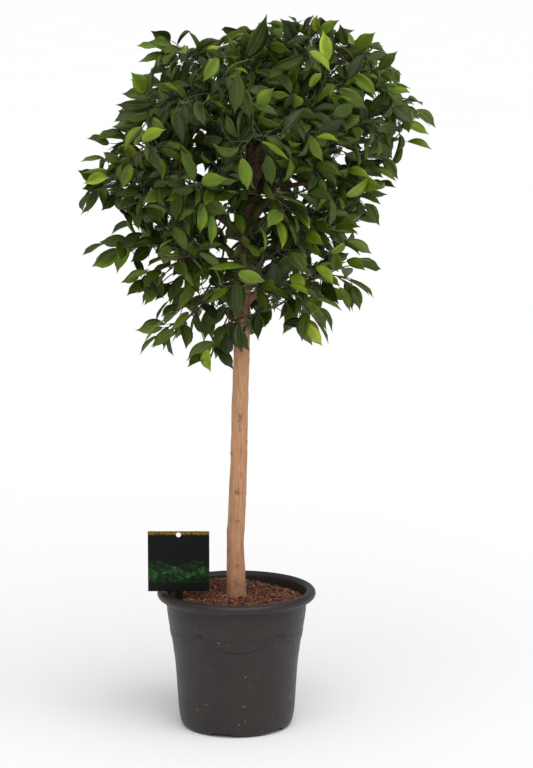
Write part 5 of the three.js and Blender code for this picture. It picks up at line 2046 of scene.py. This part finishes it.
def make_shoot(index, main, materials):
    draw = drawer(index + SHOOT_SEED)
    twigs = twigs_of(main)
    leaves = [(share, leaf) for twig in twigs for share, leaf in twig.leaves]
    count = len(leaves)
    columns = math.ceil(math.sqrt(MAP_WIDTH * count))
    rows = math.ceil(2 * count / columns)
    tubes = count + len(twigs)
    skin = Skin("leaf_place", "leaf_tint")
    for number, (share, leaf) in enumerate(leaves):
        points = blade_points(leaf, draw)
        # The tint holds the painted shade of leaves deep in the head
        tint = leaf_shade(leaf, share, draw)
        skin.add(points, BLADE_FACES, corners=blade_map(number, columns, rows),
                 leaf_place=BLADE_VALUES, leaf_tint=tint)
        middle = leaf.root + leaf.along * PETIOLE / 2 + leaf.normal * STALK_SAG / 2
        places = [leaf.root, middle, leaf.point(STALK_END)]
        radii = np.array(STALK_RADII) * STALK_RADIUS
        add_tube(skin, places, radii, STALK_SIDES, leaf.normal, 1, tint, (number, tubes))
    for number, twig in enumerate(twigs, start=count):
        shares = np.linspace(0, 1, max(int(twig.length / RING_STEP), LEAST_TWIG_RINGS))
        start, end = TWIG_RADII if twig is main else SIDE_TWIG_RADII if twig.planned else THIN_TWIG_RADII
        radii = []
        for share in shares:
            off_nodes = [(share - node) * twig.length / NODE_REACH for node, _ in twig.leaves]
            swell = NODE_SWELL * max([0, *(math.exp(-off**2) for off in off_nodes)])
            radii.append(mix(start, end, share) * (1 + swell))
        youth = MAIN_YOUTH if twig is main else SIDE_YOUTH
        places = [twig.point(share) for share in shares]
        add_tube(skin, places, radii, TWIG_SIDES, twig.at(0)[3], youth, 0.0, (number, tubes))
    name = f"spray_{index + 1:02d}"
    place(skin.build(f"{name}_leafy", materials), "leaf", name)


# Label

LABEL = 100
LABEL_THICKNESS = 0.8
LABEL_EDGE = 0.1
LABEL_PLACE = (-93.6, -30, 229.6)
LABEL_CORNER = 1.2
LABEL_HOLE_RADIUS = 4
LABEL_HOLE_DROP = 6
TONGUE_WIDTH = 12
TONGUE_LENGTH = 78
TONGUE_POINT = 14
HOLE_SIDES = 40
CORNER_STEPS = 4


def label_outline():
    """The card's outline with its tongue, counterclockwise as seen from the front."""
    half, tongue = LABEL / 2, TONGUE_WIDTH / 2
    outline = [(-half, 0), (-tongue, 0), (-tongue, TONGUE_POINT - TONGUE_LENGTH), (0, -TONGUE_LENGTH),
               (tongue, TONGUE_POINT - TONGUE_LENGTH), (tongue, 0), (half, 0)]
    for middle_x, start in ((half - LABEL_CORNER, 0), (LABEL_CORNER - half, 90)):
        for step in range(CORNER_STEPS + 1):
            turn = (start + 90 * step / CORNER_STEPS) * DEGREES
            outline.append((middle_x + LABEL_CORNER * math.cos(turn),
                            LABEL - LABEL_CORNER + LABEL_CORNER * math.sin(turn)))
    return outline


def make_label(material):
    hole = circle(LABEL_HOLE_RADIUS, HOLE_SIDES, 0, LABEL - LABEL_HOLE_DROP)[::-1]
    edge = LABEL_EDGE * MM
    depth = LABEL_THICKNESS / 2 * MM - edge
    mesh = filled([label_outline(), hole], extrude=depth, bevel_depth=edge, bevel_resolution=1, offset=-edge)
    flat = points_of(mesh)
    card = np.stack([flat[:, 0] / LABEL + 0.5, flat[:, 1] / LABEL, (flat[:, 2] > 0).astype(float)], axis=-1)
    mesh.attributes.new("card_place", "FLOAT_VECTOR", "POINT").data.foreach_set("vector", card.ravel())
    stood = np.stack([flat[:, 0], -flat[:, 2], flat[:, 1]], axis=-1) + LABEL_PLACE
    mesh.vertices.foreach_set("co", (stood * MM).ravel())
    mesh.materials.clear()
    mesh.materials.append(material)
    mesh.update()
    place(add_object("label_card", mesh), "label", "label")


# Fallen leaf

FALLEN_PLACE = (-38, 80)
FALLEN_LENGTH = 26
FALLEN_TURN = 20
FALLEN_BEND = -0.04
FALLEN_SEED = 77
FALLEN_TINT = 0.45
FALLEN_LIFT = 0.6
FALLEN_STALK_TINT = 0.7
FALLEN_STALK_RADII = (0.4, 0.5, 0.6)
STALK_POINT = 2
# How far back along the leaf and how far down its stalk's places are
FALLEN_STALK = [(-1, 0), (3, 0), (7, 0.4)]


def make_fallen_leaf(materials):
    x, y = FALLEN_PLACE
    turn = FALLEN_TURN * DEGREES
    along = np.array([math.cos(turn), math.sin(turn), 0])
    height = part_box("fallen_leaf")[1].z / MM + lumps(x, y)
    leaf = Leaf(np.array([x, y, height]), along, DOWN, FALLEN_LENGTH, FALLEN_BEND)
    skin = Skin("leaf_place", "leaf_tint")
    points = blade_points(leaf, drawer(FALLEN_SEED))
    points[:, 2] += height + FALLEN_LIFT - points[:, 2].max()
    skin.add(points, BLADE_FACES, corners=blade_map(0, 2, 1), leaf_place=BLADE_VALUES, leaf_tint=FALLEN_TINT)
    stalk = points[STALK_POINT]
    places = [stalk - back * along - down * UP for back, down in FALLEN_STALK]
    add_tube(skin, places, FALLEN_STALK_RADII, STALK_SIDES, UP, 1, FALLEN_STALK_TINT, (0, 1))
    place(skin.build("fallen_leaf_thin", materials), "leaf", "fallen_leaf")


# Stage

# The floor's radius and level are in metres, and the sun's spread is in degrees
FLOOR_RADIUS = 300
FLOOR_SIDES = 64
FLOOR_LEVEL = -0.0005
WORLD_LIGHT = 0.48
SUN_LIGHT = 2.34
SUN_SPREAD = 70
SUN_DIRECTION = (-0.2, 0.6, -0.9)


def make_stage():
    mesh = bpy.data.meshes.new("floor")
    points = [(x, y, FLOOR_LEVEL) for x, y in circle(FLOOR_RADIUS, FLOOR_SIDES)]
    mesh.from_pydata(points, [], [list(range(FLOOR_SIDES))])
    mesh.materials.append(floor_material())
    floor = add_object("floor", mesh)
    world = bpy.data.worlds.new("studio")
    world.use_nodes = True
    background = world.node_tree.nodes["Background"]
    background.inputs["Color"].default_value = (1, 1, 1, 1)
    background.inputs["Strength"].default_value = WORLD_LIGHT
    bpy.context.scene.world = world
    bpy.context.scene.view_settings.view_transform = "Standard"


def make_sun():
    """A far, soft light from above and in front, a little from the right."""
    data = bpy.data.lights.new("key_light", "SUN")
    data.energy = SUN_LIGHT
    data.angle = math.radians(SUN_SPREAD)
    light = add_object("key_light", data)
    light.rotation_euler = Vector(SUN_DIRECTION).to_track_quat("-Z", "Y").to_euler()


make_camera()
leaf_look, twig_look = leaf_material(), twig_material()
make_pot(pot_material())
make_soil(soil_material())
make_wood(bark_material())
plan = Plan()
grow_more(plan)
for number, shoot in enumerate(plan.shoots):
    make_shoot(number, shoot, [leaf_look, twig_look])
make_label(label_material())
make_fallen_leaf([leaf_look, twig_look])
make_stage()
make_sun()
